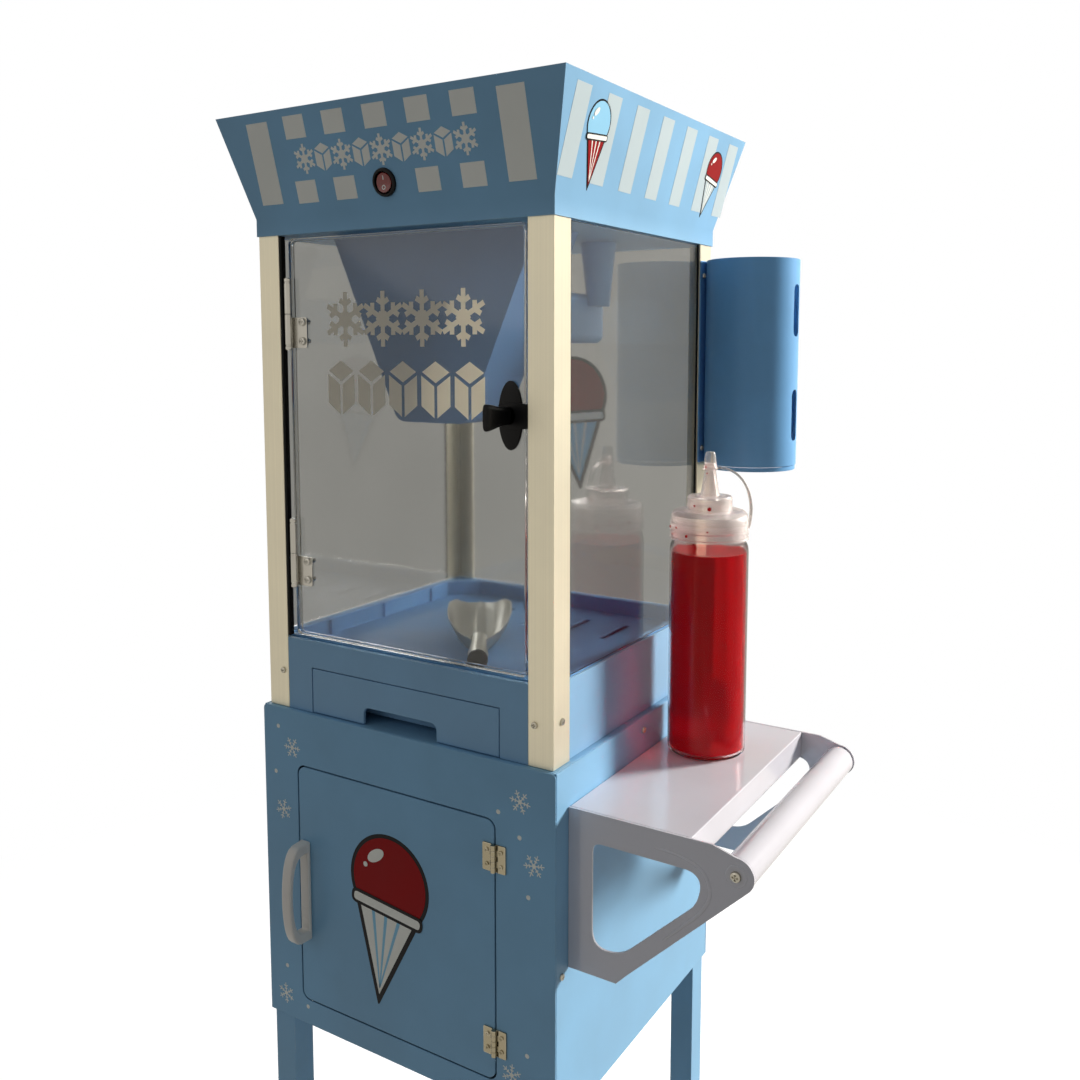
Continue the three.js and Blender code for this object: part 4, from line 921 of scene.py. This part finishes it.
BARS_LOW, BARS_HIGH = 458, 525
SQUARES = (-88.7, -45, -1, 42.3, 86.5)
SQUARE_HALF, SWITCH_GAP = 11.5, 5
front_marks = [panel(-144, -119, BARS_LOW, BARS_HIGH), panel(118, 143, BARS_LOW, BARS_HIGH)]
front_marks += [panel(a - SQUARE_HALF, a + SQUARE_HALF, 508.7, 527) for a in SQUARES]
front_marks += [panel(a - SQUARE_HALF, a + SQUARE_HALF, 456.8, 475) for a in SQUARES if abs(a) > SWITCH_GAP]
film("canopy_front_bars", front_marks, on_canopy_front, "white")
BOLD = {"stroke": 0.19, "core": 0.32, "barbs": ((0.5, 0.25),)}
SIGN_STEP, SIGN_HEIGHT = 21, 492
signs = []
for k in range(9):
    a = SIGN_STEP * (k - 4)
    if k % 2:
        signs += [shifted(facet, a, SIGN_HEIGHT) for facet in ice_cube(8.5, 11)]
    else:
        signs.append(shifted(snowflake(12, **BOLD), a, SIGN_HEIGHT, math.pi / 6))
film("canopy_front_signs", signs, on_canopy_front, "white")

BAR_STEP, BAR_WIDTH = 48.5, 22
side_bars = [panel(0.5 + k * BAR_STEP, 0.5 + k * BAR_STEP + BAR_WIDTH, 460, 526) for k in range(7)]
film("canopy_right_bars", side_bars, on_canopy_right, "pale")
ice_cone("canopy_cone_near", on_canopy_right, "frame", (44, 503), 16, 45, 0.08, "sky", "red", "white")
ice_cone("canopy_cone_far", on_canopy_right, "frame", (272, 499), 15.5, 40, -0.15, "red", "pale", "white")

DOOR_FACE = on_front(span("case_door")[0].y)
rows = [shifted(snowflake(23.5, **BOLD), 2 + 42 * (k - 1.5), 357, math.pi / 6) for k in range(4)]
for k in range(5):
    rows += [shifted(facet, 2 + 34.5 * (k - 2), 298) for facet in ice_cube(15, 23.5)]
film("door_flakes", rows, DOOR_FACE, "cream", body="case_door")

# ------------------------------------------------------------------ stage, light and world
FLOOR_SIZE, FLOOR_STEPS = 9, 64
floor_mesh = bpy.data.meshes.new("floor")
edge_points = [(a, b, 0) for a, b in circle(FLOOR_SIZE, FLOOR_STEPS)]
floor_mesh.from_pydata(edge_points, [], [list(range(FLOOR_STEPS))])
floor = bpy.data.objects.new("floor", floor_mesh)
bpy.context.scene.collection.objects.link(floor)
floor_look = finish("pale_floor", (128, 128, 128), 0.7, grain=120, relief=0.02, drift=0.01)
floor_tree = floor_look.node_tree
pale = node(floor_tree, "BsdfDiffuse", {"Color": (0.85, 0.85, 0.85, 1)})
glow = node(floor_tree, "Emission", {"Color": (1, 1, 1, 1), "Strength": 0.42})
lit = node(floor_tree, "AddShader", {0: pale.outputs[0], 1: glow.outputs[0]})
white = node(floor_tree, "Emission", {"Color": (1, 1, 1, 1), "Strength": 1.0})
here = node(floor_tree, "TexCoord").outputs["Object"]
away = node(floor_tree, "VectorMath", {0: here}, operation="LENGTH")
FADE_START, FADE_END = 0.45, 1.5
fade = spread(floor_tree, away.outputs["Value"], FADE_START, FADE_END)
shown = node(floor_tree, "MixShader", {0: fade, 1: lit.outputs[0], 2: white.outputs[0]})
paths = node(floor_tree, "LightPath").outputs
bounced = node(floor_tree, "MixShader", {0: paths["Is Diffuse Ray"],
                                         1: node(floor_tree, "BsdfTransparent").outputs[0],
                                         2: floor_tree.nodes["Principled BSDF"].outputs[0]})
floor_mix = node(floor_tree, "MixShader", {0: paths["Is Camera Ray"], 1: bounced.outputs[0],
                                           2: shown.outputs[0]})
floor_tree.links.new(floor_mix.outputs[0], floor_tree.nodes["Material Output"].inputs["Surface"])
floor.data.materials.append(floor_look)


def lamp(name, place, target, size, power, tone=(1, 1, 1)):
    light = bpy.data.lights.new(name, "AREA")
    light.shape, light.size, light.energy, light.color = "DISK", size, power, tone
    item = bpy.data.objects.new(name, light)
    bpy.context.scene.collection.objects.link(item)
    item.location = place
    item.rotation_mode = "QUATERNION"
    item.rotation_quaternion = (Vector(target) - Vector(place)).to_track_quat("-Z", "Y")
    return item


MIDDLE = (0, 0, 0.75)
KEY_AT = (2.5, 2.8, 1.95)
KEY_SIZE = 0.8
key = lamp("key", KEY_AT, MIDDLE, KEY_SIZE, 275, (1, 0.96, 0.9))
key.visible_glossy = False
glint = lamp("glint", KEY_AT, MIDDLE, KEY_SIZE, 30, (1, 0.97, 0.93))
glint.visible_diffuse = False
lamp("fill", (-1.8, -3.2, 2.2), MIDDLE, 2.4, 6, (0.97, 0.98, 1))
lamp("back", (-2.6, 2.2, 2.4), MIDDLE, 2.0, 16)

world = bpy.data.worlds.new("studio")
bpy.context.scene.world = world
world.use_nodes = True
sky = world.node_tree
ways = node(sky, "LightPath").outputs
soft = node(sky, "TexNoise", {"Scale": 2.2, "Detail": 1}).outputs[0]
blurred = mixed(sky, spread(sky, soft, 0.35, 0.65), (0.78, 0.76, 0.7, 1), (1, 0.98, 0.9, 1))
room = node(sky, "Background", {"Color": (0.94, 0.98, 1, 1), "Strength": 0.22})
behind = node(sky, "Background", {"Color": blurred, "Strength": 0.31})
mirror = node(sky, "Background", {"Color": (1, 0.95, 0.86, 1), "Strength": 0.8})
paper = node(sky, "Background", {"Color": (1, 1, 1, 1), "Strength": 1.0})
shown_sky = room
for way, ground in (("Is Glossy Ray", mirror), ("Is Transmission Ray", behind), ("Is Camera Ray", paper)):
    shown_sky = node(sky, "MixShader", {0: ways[way], 1: shown_sky.outputs[0], 2: ground.outputs[0]})
sky.links.new(shown_sky.outputs[0], sky.nodes["World Output"].inputs["Surface"])
bpy.context.scene.view_settings.view_transform = "Standard"
